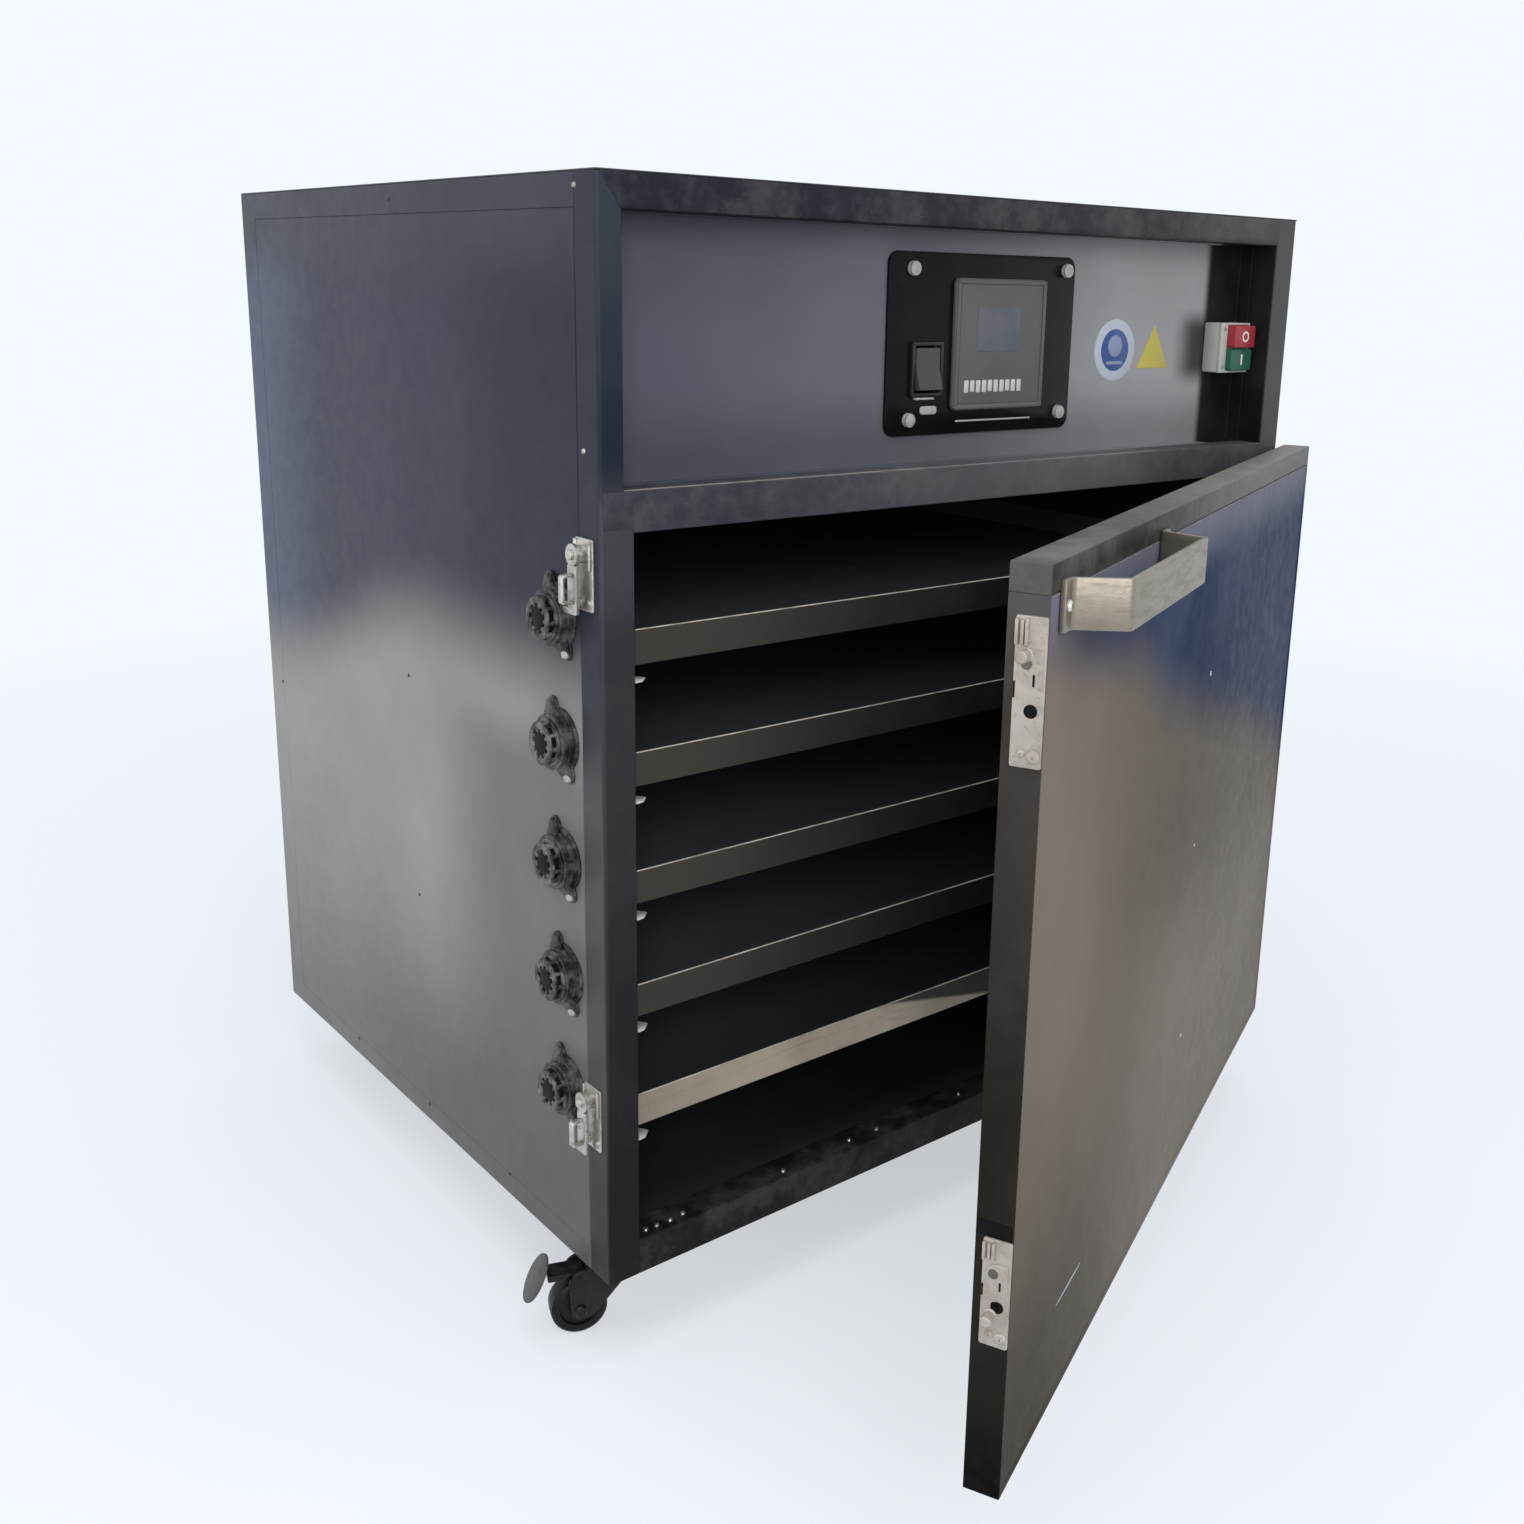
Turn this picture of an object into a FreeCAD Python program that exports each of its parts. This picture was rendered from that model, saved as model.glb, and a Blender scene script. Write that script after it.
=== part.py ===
"""A five-tray drying cabinet on casters, with its door ajar, as separate pieces in real sizes.

The part stands on the floor at z = 0, its front looks along -Y, and +X is to the right.
Its origin is at the middle of the floor area that the whole object covers.
"""
import FreeCAD, Part
import math
import os

import Sketcher

Vector = FreeCAD.Vector
TOP_VIEW = "XY_Plane"
FRONT_VIEW = "XZ_Plane"
SIDE_VIEW = "YZ_Plane"

doc = FreeCAD.newDocument("drying_cabinet")
sheet = doc.addObject("Spreadsheet::Sheet", "dims")
sheet_rows = []


class Size:
    """A length with its value and the formula over the sheet's cells that gives it."""

    def __init__(self, value, formula):
        self.value = float(value)
        self.formula = formula

    def joined(self, other, sign, value):
        return Size(value, f"({self.formula} {sign} {formula_of(other)})")

    def __add__(self, other):
        return self.joined(other, "+", self.value + value_of(other))

    def __sub__(self, other):
        return self.joined(other, "-", self.value - value_of(other))

    def __mul__(self, other):
        return self.joined(other, "*", self.value * value_of(other))

    def __truediv__(self, other):
        return self.joined(other, "/", self.value / value_of(other))

    def __neg__(self):
        return Size(-self.value, f"(0 - {self.formula})")


def value_of(size):
    return size.value if isinstance(size, Size) else float(size)


def formula_of(size):
    return size.formula if isinstance(size, Size) else f"{float(size):.6g}"


def dimension(alias, value):
    """Put one driving dimension on the sheet, in millimetres or degrees."""
    row = len(sheet_rows) + 1
    sheet_rows.append(alias)
    sheet.set(f"A{row}", alias)
    sheet.set(f"B{row}", str(value))
    sheet.setAlias(f"B{row}", alias)
    return Size(value, f"dims.{alias}")


# The box of the body, and where it stands in the part's frame.
body_width = dimension("body_width", 846)
body_depth = dimension("body_depth", 702)
body_height = dimension("body_height", 900)
left = dimension("left_face", -411)
front = dimension("front_face", -163.9)
base = dimension("base_height", 76.5)

# Frame of folded steel sections, and the sheets that close it.
post_width = dimension("post_width", 30)
post_depth = dimension("post_depth", 30)
recess_post_width = dimension("recess_post_width", 21.5)
bottom_rail_height = dimension("bottom_rail_height", 32)
middle_rail_bottom = dimension("middle_rail_bottom", 638)
middle_rail_top = dimension("middle_rail_top", 670)
top_rail_bottom = dimension("top_rail_bottom", 873)
rear_post_depth = dimension("rear_post_depth", 36)
side_rail_height = dimension("side_rail_height", 22)
sheet_metal = dimension("sheet_metal", 1.5)
cover_sheet = dimension("cover_sheet", 1.2)
seam = dimension("seam", 1)

# Control recess and what it carries.
recess_depth = dimension("recess_depth", 45)
plate_left = dimension("plate_left", 316.5)
plate_bottom = dimension("plate_bottom", 693.5)
plate_width = dimension("plate_width", 237.7)
plate_height = dimension("plate_height", 159.8)
plate_thickness = dimension("plate_thickness", 3)
starter_left = dimension("starter_left", 764)
starter_bottom = dimension("starter_bottom", 743)
starter_depth = dimension("starter_depth", 22)

# Trays on their rails, and the fan motors level with them.
tray_pitch = dimension("tray_pitch", 99)
first_tray_top = dimension("first_tray_top", 166)
tray_height = dimension("tray_height", 28)
tray_depth = dimension("tray_depth", 606)
tray_setback = dimension("tray_setback", 4)
liner_depth = dimension("liner_depth", 660)
motor_pitch = dimension("motor_pitch", 101.3)
first_motor_height = dimension("first_motor_height", 162)
motor_setback = dimension("motor_setback", 61)

# Door, hinges and latches.
door_width = dimension("door_width", 857.5)
door_height = dimension("door_height", 657)
door_thickness = dimension("door_thickness", 27)
door_bottom = dimension("door_bottom", 10)
door_border = dimension("door_border", 19)
door_angle = dimension("door_angle", 24)
hinge_x = dimension("hinge_axis_x", 858.5)
hinge_y = dimension("hinge_axis_y", -8)
hinge_edge_gap = dimension("hinge_edge_gap", 4.6)
hinge_back_gap = dimension("hinge_back_gap", 5.66)
latch_top_height = dimension("latch_top_height", 606)
latch_pivot_rise = dimension("latch_pivot_rise", 16)
latch_bottom_height = dimension("latch_bottom_height", 150)
latch_pivot_setback = dimension("latch_pivot_setback", 22)

# Casters.
wheel_radius = dimension("wheel_radius", 25)
wheel_width = dimension("wheel_width", 20)
caster_trail = dimension("caster_trail", 30)
front_caster_inset_x = dimension("front_caster_inset_x", 33)
front_caster_inset_y = dimension("front_caster_inset_y", 52)
front_caster_angle = dimension("front_caster_angle", 160)
rear_caster_inset_x = dimension("rear_caster_inset_x", 48)
rear_caster_inset_y = dimension("rear_caster_inset_y", 62)
rear_caster_angle = dimension("rear_caster_angle", -25)

doc.recompute()

TRAYS = 5
AXIS_TURNS = {
    "X": FreeCAD.Rotation(Vector(0, 1, 0), 90),
    "Y": FreeCAD.Rotation(Vector(1, 0, 0), -90),
    "Z": FreeCAD.Rotation(),
}

kept = []


def place(item, corner):
    """Bind an object's position to the sheet."""
    for axis, size in zip("xyz", corner):
        item.setExpression(f".Placement.Base.{axis}", formula_of(size))


def block(name, low, high):
    """A rectangular solid between two corners."""
    item = doc.addObject("Part::Box", name)
    place(item, low)
    for prop, start, end in zip(("Length", "Width", "Height"), low, high):
        item.setExpression(prop, f"{formula_of(end)} - {formula_of(start)}")
    return item


def rod(name, axis, start, radius, length):
    """A round bar from a centre point, along +X, +Y or +Z."""
    item = doc.addObject("Part::Cylinder", name)
    item.Placement = FreeCAD.Placement(Vector(), AXIS_TURNS[axis])
    place(item, start)
    item.setExpression("Radius", formula_of(radius))
    item.setExpression("Height", formula_of(length))
    return item


def fuse(name, *items):
    item = doc.addObject("Part::MultiFuse", name)
    item.Shapes = list(items)
    return item


def cut(name, solid, *tools):
    item = doc.addObject("Part::Cut", name)
    item.Base = solid
    item.Tool = tools[0] if len(tools) == 1 else fuse(f"{name}_tools", *tools)
    return item


def group(name, *items):
    """Separate solids that one node holds."""
    item = doc.addObject("Part::Compound", name)
    item.Links = list(items)
    return item


def prism(name, view, corners, start, length, reverse=False):
    """A flat outline, one point per corner, padded from its origin plane."""
    body = doc.addObject("PartDesign::Body", name)
    sketch = body.newObject("Sketcher::SketchObject", f"{name}_outline")
    plane = [item for item in body.Origin.OriginFeatures if item.Role == view][0]
    sketch.AttachmentSupport = [(plane, "")]
    sketch.MapMode = "FlatFace"
    points = [Vector(value_of(u), value_of(v), 0) for u, v in corners]
    count = len(points)
    for i in range(count):
        sketch.addGeometry(Part.LineSegment(points[i], points[(i + 1) % count]), False)
    for i in range(count):
        sketch.addConstraint(Sketcher.Constraint("Coincident", i, 2, (i + 1) % count, 1))
    for i, corner in enumerate(corners):
        for kind, size in zip(("DistanceX", "DistanceY"), corner):
            line = sketch.addConstraint(Sketcher.Constraint(kind, -1, 1, i, 1, value_of(size)))
            sketch.setExpression(f"Constraints[{line}]", formula_of(size))
    pad = body.newObject("PartDesign::Pad", f"{name}_pad")
    pad.Profile = sketch
    pad.setExpression("Length", formula_of(length))
    pad.Reversed = reverse
    place(body, start)
    return body


def keep(node, item):
    """Give an object the name that its piece is known by."""
    item.Label = node
    kept.append(item)
    return item


# Corners of the body in the part's frame.
right = left + body_width
back = front + body_depth
frame_top = base + body_height - cover_sheet
inner_left = left + post_width
inner_right = right - post_width
behind_posts = front + post_depth
cavity_floor = base + bottom_rail_height
cavity_top = base + middle_rail_bottom


def height(size):
    """A height above the body's underside."""
    return base + size


def build_frame():
    """Posts, cross rails and the C-shaped frame of each side."""
    jog = [
        (0, 0),
        (post_width, 0),
        (post_width, middle_rail_top),
        (recess_post_width, middle_rail_top),
        (recess_post_width, body_height - cover_sheet),
        (0, body_height - cover_sheet),
    ]
    left_post = prism("left_post", FRONT_VIEW, jog, (left, behind_posts, base), post_depth)
    right_post = block(
        "right_post", (inner_right, front, base), (right, behind_posts, frame_top))
    keep("front_posts", group("front_posts", left_post, right_post))

    rails = [
        block("top_rail", (left + recess_post_width, front, height(top_rail_bottom)),
              (inner_right, behind_posts, frame_top)),
        block("middle_rail", (inner_left, front, height(middle_rail_bottom)),
              (inner_right, behind_posts, height(middle_rail_top))),
        block("bottom_rail", (inner_left, front, base),
              (inner_right, behind_posts, cavity_floor)),
        block("rear_top_rail", (inner_left, back - post_depth, frame_top - post_width),
              (inner_right, back, frame_top)),
        block("rear_bottom_rail", (inner_left, back - post_depth, base),
              (inner_right, back, height(post_width))),
    ]
    keep("cross_rails", group("cross_rails", *rails))

    window_back = body_depth - rear_post_depth
    c_shape = [
        (post_depth, 0),
        (body_depth, 0),
        (body_depth, body_height - cover_sheet),
        (post_depth, body_height - cover_sheet),
        (post_depth, top_rail_bottom + 0.6),
        (window_back, top_rail_bottom + 0.6),
        (window_back, side_rail_height),
        (post_depth, side_rail_height),
    ]
    for side, x in (("left", left), ("right", inner_right)):
        frame = prism(f"side_frame_{side}", SIDE_VIEW, c_shape, (x, front, base), post_width)
        keep(f"side_frame_{side}", frame)


def motor_axis(level):
    """Y and Z of one fan motor's axis."""
    return front + motor_setback, height(first_motor_height + motor_pitch * level)


def build_covers():
    """Outer sheets: sides, back, top and base."""
    low_y = behind_posts + seam
    high_y = back - rear_post_depth - seam
    low_z = height(side_rail_height + seam)
    high_z = height(top_rail_bottom + 0.6) - seam
    panel = block("left_sheet", (left, low_y, low_z), (left + sheet_metal, high_y, high_z))
    holes = []
    for level in range(TRAYS):
        y, z = motor_axis(level)
        holes.append(rod(f"motor_hole_{level + 1}", "X", (left - 1, y, z), 20, 4))
    left_panel = cut("left_panel", panel, *holes)
    right_panel = block(
        "right_panel", (right - sheet_metal, low_y, low_z), (right, high_y, high_z))
    keep("side_panels", group("side_panels", left_panel, right_panel))

    back_sheet = block(
        "back_sheet", (left + 2, back, height(2)), (right - 2, back + cover_sheet, frame_top - 2))
    slots = []
    for row in range(6):
        for side, x in (("a", left + 180), ("b", left + 520)):
            z = height(740 + 20 * row)
            slots.append(block(f"louvre_{side}{row + 1}", (x, back - 1, z),
                               (x + 140, back + 4, z + 5)))
    keep("back_panel", cut("back_panel", back_sheet, *slots))

    keep("top_panel", block(
        "top_panel", (left, front, frame_top), (right, back, base + body_height)))
    keep("base_panel", block(
        "base_panel", (inner_left, behind_posts, base),
        (inner_right, back - post_depth, base + sheet_metal)))


def build_liner():
    """The inner walls of the drying space and the insulation round them."""
    liner_back = front + liner_depth
    wall = block("left_wall", (inner_left - sheet_metal, behind_posts, cavity_floor),
                 (inner_left, liner_back, cavity_top))
    ports = []
    for level in range(TRAYS):
        y, z = motor_axis(level)
        for turn in range(8):
            angle = math.radians(45 * turn)
            ports.append(rod(
                f"air_port_{level + 1}_{turn + 1}", "X",
                (inner_left - 4, y + 20 * math.cos(angle), z + 20 * math.sin(angle)), 5, 8))
    left_wall = cut("left_liner_wall", wall, *ports)
    right_wall = block("right_liner_wall", (inner_right, behind_posts, cavity_floor),
                       (inner_right + sheet_metal, liner_back, cavity_top))
    keep("liner_side_walls", group("liner_side_walls", left_wall, right_wall))

    low_x = inner_left - sheet_metal
    high_x = inner_right + sheet_metal
    shell = [
        block("liner_rear_wall", (low_x, liner_back, cavity_floor),
              (high_x, liner_back + sheet_metal, cavity_top)),
        block("liner_ceiling", (low_x, behind_posts, cavity_top),
              (high_x, liner_back + sheet_metal, cavity_top + sheet_metal)),
        block("liner_floor", (low_x, behind_posts, cavity_floor - sheet_metal),
              (high_x, liner_back + sheet_metal, cavity_floor)),
    ]
    keep("liner_shell", group("liner_shell", *shell))

    slabs = [
        block("left_slab", (left + 3, front + 130, height(34)),
              (inner_left - 3, back - rear_post_depth - 2, height(630))),
        block("right_slab", (inner_right + 3, behind_posts + 2, height(34)),
              (right - 3, back - rear_post_depth - 2, height(630))),
        block("back_slab", (inner_left + 1, liner_back + 2, height(34)),
              (inner_right - 1, back - 1, height(630))),
        block("top_slab", (inner_left + 1, behind_posts + 17, height(641)),
              (inner_right - 1, liner_back, height(667))),
        block("bottom_slab", (inner_left + 1, behind_posts + 1, height(3)),
              (inner_right - 1, liner_back - 1, height(29))),
    ]
    keep("insulation_slabs", group("insulation_slabs", *slabs))


def build_controls():
    """The recessed fascia, the control plate on it and the starter box."""
    fascia_y = front + recess_depth
    pan = block("recess_outside",
                (left + recess_post_width - sheet_metal, behind_posts,
                 height(middle_rail_top) - cover_sheet),
                (inner_right + sheet_metal, fascia_y + sheet_metal, height(top_rail_bottom)))
    hollow = block("recess_inside",
                   (left + recess_post_width, behind_posts - 1, height(middle_rail_top)),
                   (inner_right, fascia_y, height(top_rail_bottom) - cover_sheet))
    rocker_low = (left + 347, fascia_y - 10, height(731))
    rocker_high = (left + 378.6, fascia_y + 10, height(773))
    keep("control_fascia", cut(
        "control_fascia", pan, hollow, block("fascia_window", rocker_low, rocker_high)))

    plate_face = fascia_y - plate_thickness
    plate = block(
        "plate_blank", (left + plate_left, plate_face, height(plate_bottom)),
        (left + plate_left + plate_width, fascia_y, height(plate_bottom) + plate_height))
    keep("control_plate", cut(
        "control_plate", plate, block("plate_window", rocker_low, rocker_high)))

    nuts = []
    for i, (x, z) in enumerate(((344.4, 839), (541, 841), (343.5, 707.7), (539, 709))):
        start = (left + x, plate_face - 4, height(z))
        nuts.append(rod(f"plate_nut_{i + 1}", "Y", start, 6, 4))

    housing = block("display_block", (left + 394, plate_face - 6, height(714.6)),
                    (left + 511, plate_face, height(832)))
    well = block("display_well", (left + 421, plate_face - 8, height(767)),
                 (left + 476, plate_face - 3, height(807)))
    glass = block("display_glass", (left + 421.2, plate_face - 5, height(767.2)),
                  (left + 475.8, plate_face - 3, height(806.8)))
    keep("display_module", group(
        "display_module", cut("display_housing", housing, well), glass))

    rim = block("rocker_rim", (left + 344, plate_face - 4, height(728)),
                (left + 381.6, plate_face, height(776)))
    rim_window = block("rocker_rim_window", (left + 347.6, plate_face - 6, height(731.6)),
                       (left + 378, plate_face + 2, height(772.4)))
    keep("rocker_frame", cut("rocker_frame", rim, rim_window))

    rocker = block("rocker_block", (-14, -4, -18.5), (14, 3, 18.5))
    paddle = group("rocker_switch", rocker)
    paddle.Placement = FreeCAD.Placement(Vector(), FreeCAD.Rotation(Vector(1, 0, 0), -9))
    place(paddle, (left + 362.8, plate_face - 3, height(752)))
    keep("rocker_switch", paddle)

    face = fascia_y - starter_depth
    x = left + starter_left
    z = height(starter_bottom)
    shell = block("starter_shell", (x, face, z), (x + 48, fascia_y, z + 51))
    red_well = block("stop_well", (x + 10.7, face - 1, z + 25.7), (x + 45.3, fascia_y - 3, z + 48.8))
    green_well = block("start_well", (x + 10.7, face - 1, z + 2.2), (x + 45.3, fascia_y - 3, z + 24.8))
    keep("starter_box", cut("starter_box", shell, red_well, green_well))
    keep("stop_button", block(
        "stop_button", (x + 11, face - 10, z + 26), (x + 45, fascia_y - 8, z + 48.5)))
    keep("start_button", block(
        "start_button", (x + 11, face - 7, z + 2.5), (x + 45, fascia_y - 8, z + 24.5)))

    rear = fascia_y + sheet_metal
    gear = [
        block("contactor", (left + 600, rear, height(720)), (left + 660, rear + 64, height(800))),
        block("relay", (left + 450, rear, height(700)), (left + 486, rear + 50, height(770))),
        block("terminal_block", (left + 680, rear, height(700)),
              (left + 790, rear + 28, height(725))),
    ]
    keep("control_gear", group("control_gear", *gear))

    gland_x = left + 760
    gland_z = height(700)
    nut = rod("gland_nut", "Y", (gland_x, back + cover_sheet, gland_z), 13, 6)
    dome = rod("gland_dome", "Y", (gland_x, back + cover_sheet + 6, gland_z), 10, 13)
    keep("cable_gland", fuse("cable_gland", nut, dome))
    return nuts


def build_trays():
    """Five shallow trays on angle rails, and the heater bars below them."""
    rails = []
    for level in range(TRAYS):
        top = height(first_tray_top + tray_pitch * level)
        bottom = top - tray_height
        pan = block(f"tray_blank_{level + 1}", (inner_left + 2, front + tray_setback, bottom),
                    (inner_right - 2, front + tray_setback + tray_depth, top))
        hollow = block(
            f"tray_hollow_{level + 1}",
            (inner_left + 2 + sheet_metal, front + tray_setback + sheet_metal,
             bottom + sheet_metal),
            (inner_right - 2 - sheet_metal, front + tray_setback + tray_depth - sheet_metal,
             top + 1))
        keep(f"tray_{level + 1}", cut(f"tray_{level + 1}", pan, hollow))
        near = front + 10
        far = front + liner_depth - 5
        for side, x0, x1, w0, w1 in (
                ("left", inner_left, inner_left + 16, inner_left, inner_left + 2),
                ("right", inner_right - 16, inner_right, inner_right - 2, inner_right)):
            flange = block(f"rail_flange_{side}_{level + 1}", (x0, near, bottom - 2),
                           (x1, far, bottom))
            web = block(f"rail_web_{side}_{level + 1}", (w0, near, bottom - 16),
                        (w1, far, bottom - 2))
            rails.append(fuse(f"rail_{side}_{level + 1}", flange, web))
    keep("tray_rails", group("tray_rails", *rails))

    pieces = []
    for i in range(3):
        start = (inner_left + 60, front + 180 + 140 * i, cavity_floor + 36)
        pieces.append(rod(f"heater_tube_{i + 1}", "X", start, 5, 660))
        for side, x in (("left", inner_left + 90), ("right", inner_right - 96)):
            foot = block(f"foot_blank_{side}_{i + 1}",
                         (x, front + 165 + 140 * i, cavity_floor),
                         (x + 3, front + 195 + 140 * i, cavity_floor + 46))
            hole = rod(f"foot_hole_{side}_{i + 1}", "X", (x - 1, start[1], start[2]), 5, 5)
            pieces.append(cut(f"heater_foot_{side}_{i + 1}", foot, hole))
    keep("heater_elements", group("heater_elements", *pieces))


def build_fans():
    """Five fan motors on the left side, each with its fan in the side wall."""
    motors = []
    caps = []
    screws = []
    ear_tilt = -23.8
    ear_reach = 30.5
    for level in range(TRAYS):
        n = level + 1
        y, z = motor_axis(level)
        disc = rod(f"motor_disc_{n}", "X", (left - 2.5, y, z), 26.5, 2.5)
        ears = doc.addObject("Part::Box", f"motor_ears_{n}")
        ears.Length = 2.5
        ears.Width = 15
        ears.Height = 2 * (ear_reach + 6)
        turn = FreeCAD.Rotation(Vector(1, 0, 0), ear_tilt)
        corner = turn.multVec(Vector(0, -7.5, -(ear_reach + 6)))
        ears.Placement = FreeCAD.Placement(Vector(), turn)
        place(ears, (left - 2.5, y + corner.y, z + corner.z))
        drum = rod(f"motor_drum_{n}", "X", (left - 13, y, z), 23, 10.5)
        nose = rod(f"motor_nose_{n}", "X", (left, y, z), 19, 8)
        bore = rod(f"motor_bore_{n}", "X", (left - 3, y, z), 2.6, 12)
        solid = fuse(f"motor_solid_{n}", disc, ears, drum, nose)
        motors.append(cut(f"motor_{n}", solid, bore))

        lid = rod(f"cap_blank_{n}", "X", (left - 21, y, z), 19.5, 8)
        slots = []
        for turn_index in range(3):
            slot = doc.addObject("Part::Box", f"cap_slot_{n}_{turn_index + 1}")
            slot.Length = 5
            slot.Width = 5
            slot.Height = 60
            spin = FreeCAD.Rotation(Vector(1, 0, 0), 60 * turn_index)
            offset = spin.multVec(Vector(0, -2.5, -30))
            slot.Placement = FreeCAD.Placement(Vector(), spin)
            place(slot, (left - 22, y + offset.y, z + offset.z))
            slots.append(slot)
        core = rod(f"cap_core_{n}", "X", (left - 20, y, z), 11, 7)
        caps.append(fuse(f"cap_{n}", cut(f"cap_ring_{n}", lid, *slots), core))

        for sign in (1, -1):
            tip = turn.multVec(Vector(0, 0, sign * ear_reach))
            screws.append(rod(f"motor_screw_{n}_{'a' if sign > 0 else 'b'}", "X",
                              (left - 5, y + tip.y, z + tip.z), 3.4, 2.5))

        shaft = rod(f"fan_shaft_{n}", "X", (left - 2, y, z), 2.5, 26)
        hub = rod(f"fan_hub_{n}", "X", (left + 11, y, z), 8, 12)
        blades = []
        for blade_index in range(6):
            blade = doc.addObject("Part::Box", f"fan_blade_{n}_{blade_index + 1}")
            blade.Length = 9
            blade.Width = 1.6
            blade.Height = 20
            spin = FreeCAD.Rotation(Vector(1, 0, 0), 60 * blade_index)
            offset = spin.multVec(Vector(0, -0.8, 7))
            blade.Placement = FreeCAD.Placement(Vector(), spin)
            place(blade, (left + 12.5, y + offset.y, z + offset.z))
            blades.append(blade)
        keep(f"fan_{n}", fuse(f"fan_{n}", shaft, hub, *blades))
    keep("fan_motors", group("fan_motors", *motors))
    keep("motor_end_caps", group("motor_end_caps", *caps))
    return screws


def build_latches():
    """Base plates with a stud, and the hooks that swing over the door's strikes."""
    bases = []
    screws = []
    pivot_y = front + latch_pivot_setback
    for where, size in (("top", latch_top_height), ("bottom", latch_bottom_height)):
        middle = height(size)
        z = middle + latch_pivot_rise
        plate = block(f"latch_plate_{where}", (left - 2, front + 8, middle - 28),
                      (left, front + 33, middle + 28))
        stud = rod(f"latch_stud_{where}", "X", (left - 15, pivot_y, z), 4, 13)
        collar = rod(f"latch_collar_{where}", "X", (left - 8.5, pivot_y, z), 7, 6.5)
        bases.append(fuse(f"latch_base_{where}", plate, stud, collar))
        for tag, screw_y in (("a", front + 14), ("b", front + 27)):
            screws.append(rod(f"latch_screw_{where}_{tag}", "X",
                              (left - 4, screw_y, middle - 22), 3.6, 2))

        # The hook hangs from its stud: an arm, a claw at its tip and a finger loop.
        eye = rod(f"hook_eye_{where}", "X", (left - 12, pivot_y, z), 8.5, 3)
        arm = block(f"hook_arm_{where}", (left - 12, pivot_y - 6, z - 46),
                    (left - 9, pivot_y + 6, z))
        claw = block(f"hook_claw_{where}", (left - 12, pivot_y + 6, z - 46),
                     (left - 9, pivot_y + 14, z - 41.5))
        loop = block(f"hook_loop_{where}", (left - 22, pivot_y - 3, z - 38),
                     (left - 12, pivot_y + 3, z - 14))
        gap = block(f"hook_gap_{where}", (left - 19.5, pivot_y - 4, z - 35),
                    (left - 12, pivot_y + 4, z - 17))
        bore = rod(f"hook_bore_{where}", "X", (left - 13, pivot_y, z), 4.08, 6)
        solid = fuse(f"hook_solid_{where}", eye, arm, claw, loop)
        keep(f"latch_hook_{where}", cut(f"latch_hook_{where}", solid, gap, bore))
    keep("latch_bases", group("latch_bases", *bases))
    return screws


def hang_on_door(item):
    """Turn a piece that is drawn about the hinge axis to the open door's place."""
    item.setExpression(".Placement.Base.x", formula_of(left + hinge_x))
    item.setExpression(".Placement.Base.y", formula_of(front + hinge_y))
    item.setExpression(".Placement.Base.z", formula_of(base))
    item.Placement = FreeCAD.Placement(Vector(), FreeCAD.Rotation(Vector(0, 0, 1), 1))
    item.setExpression(".Placement.Rotation.Angle", formula_of(door_angle))
    return item


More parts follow.
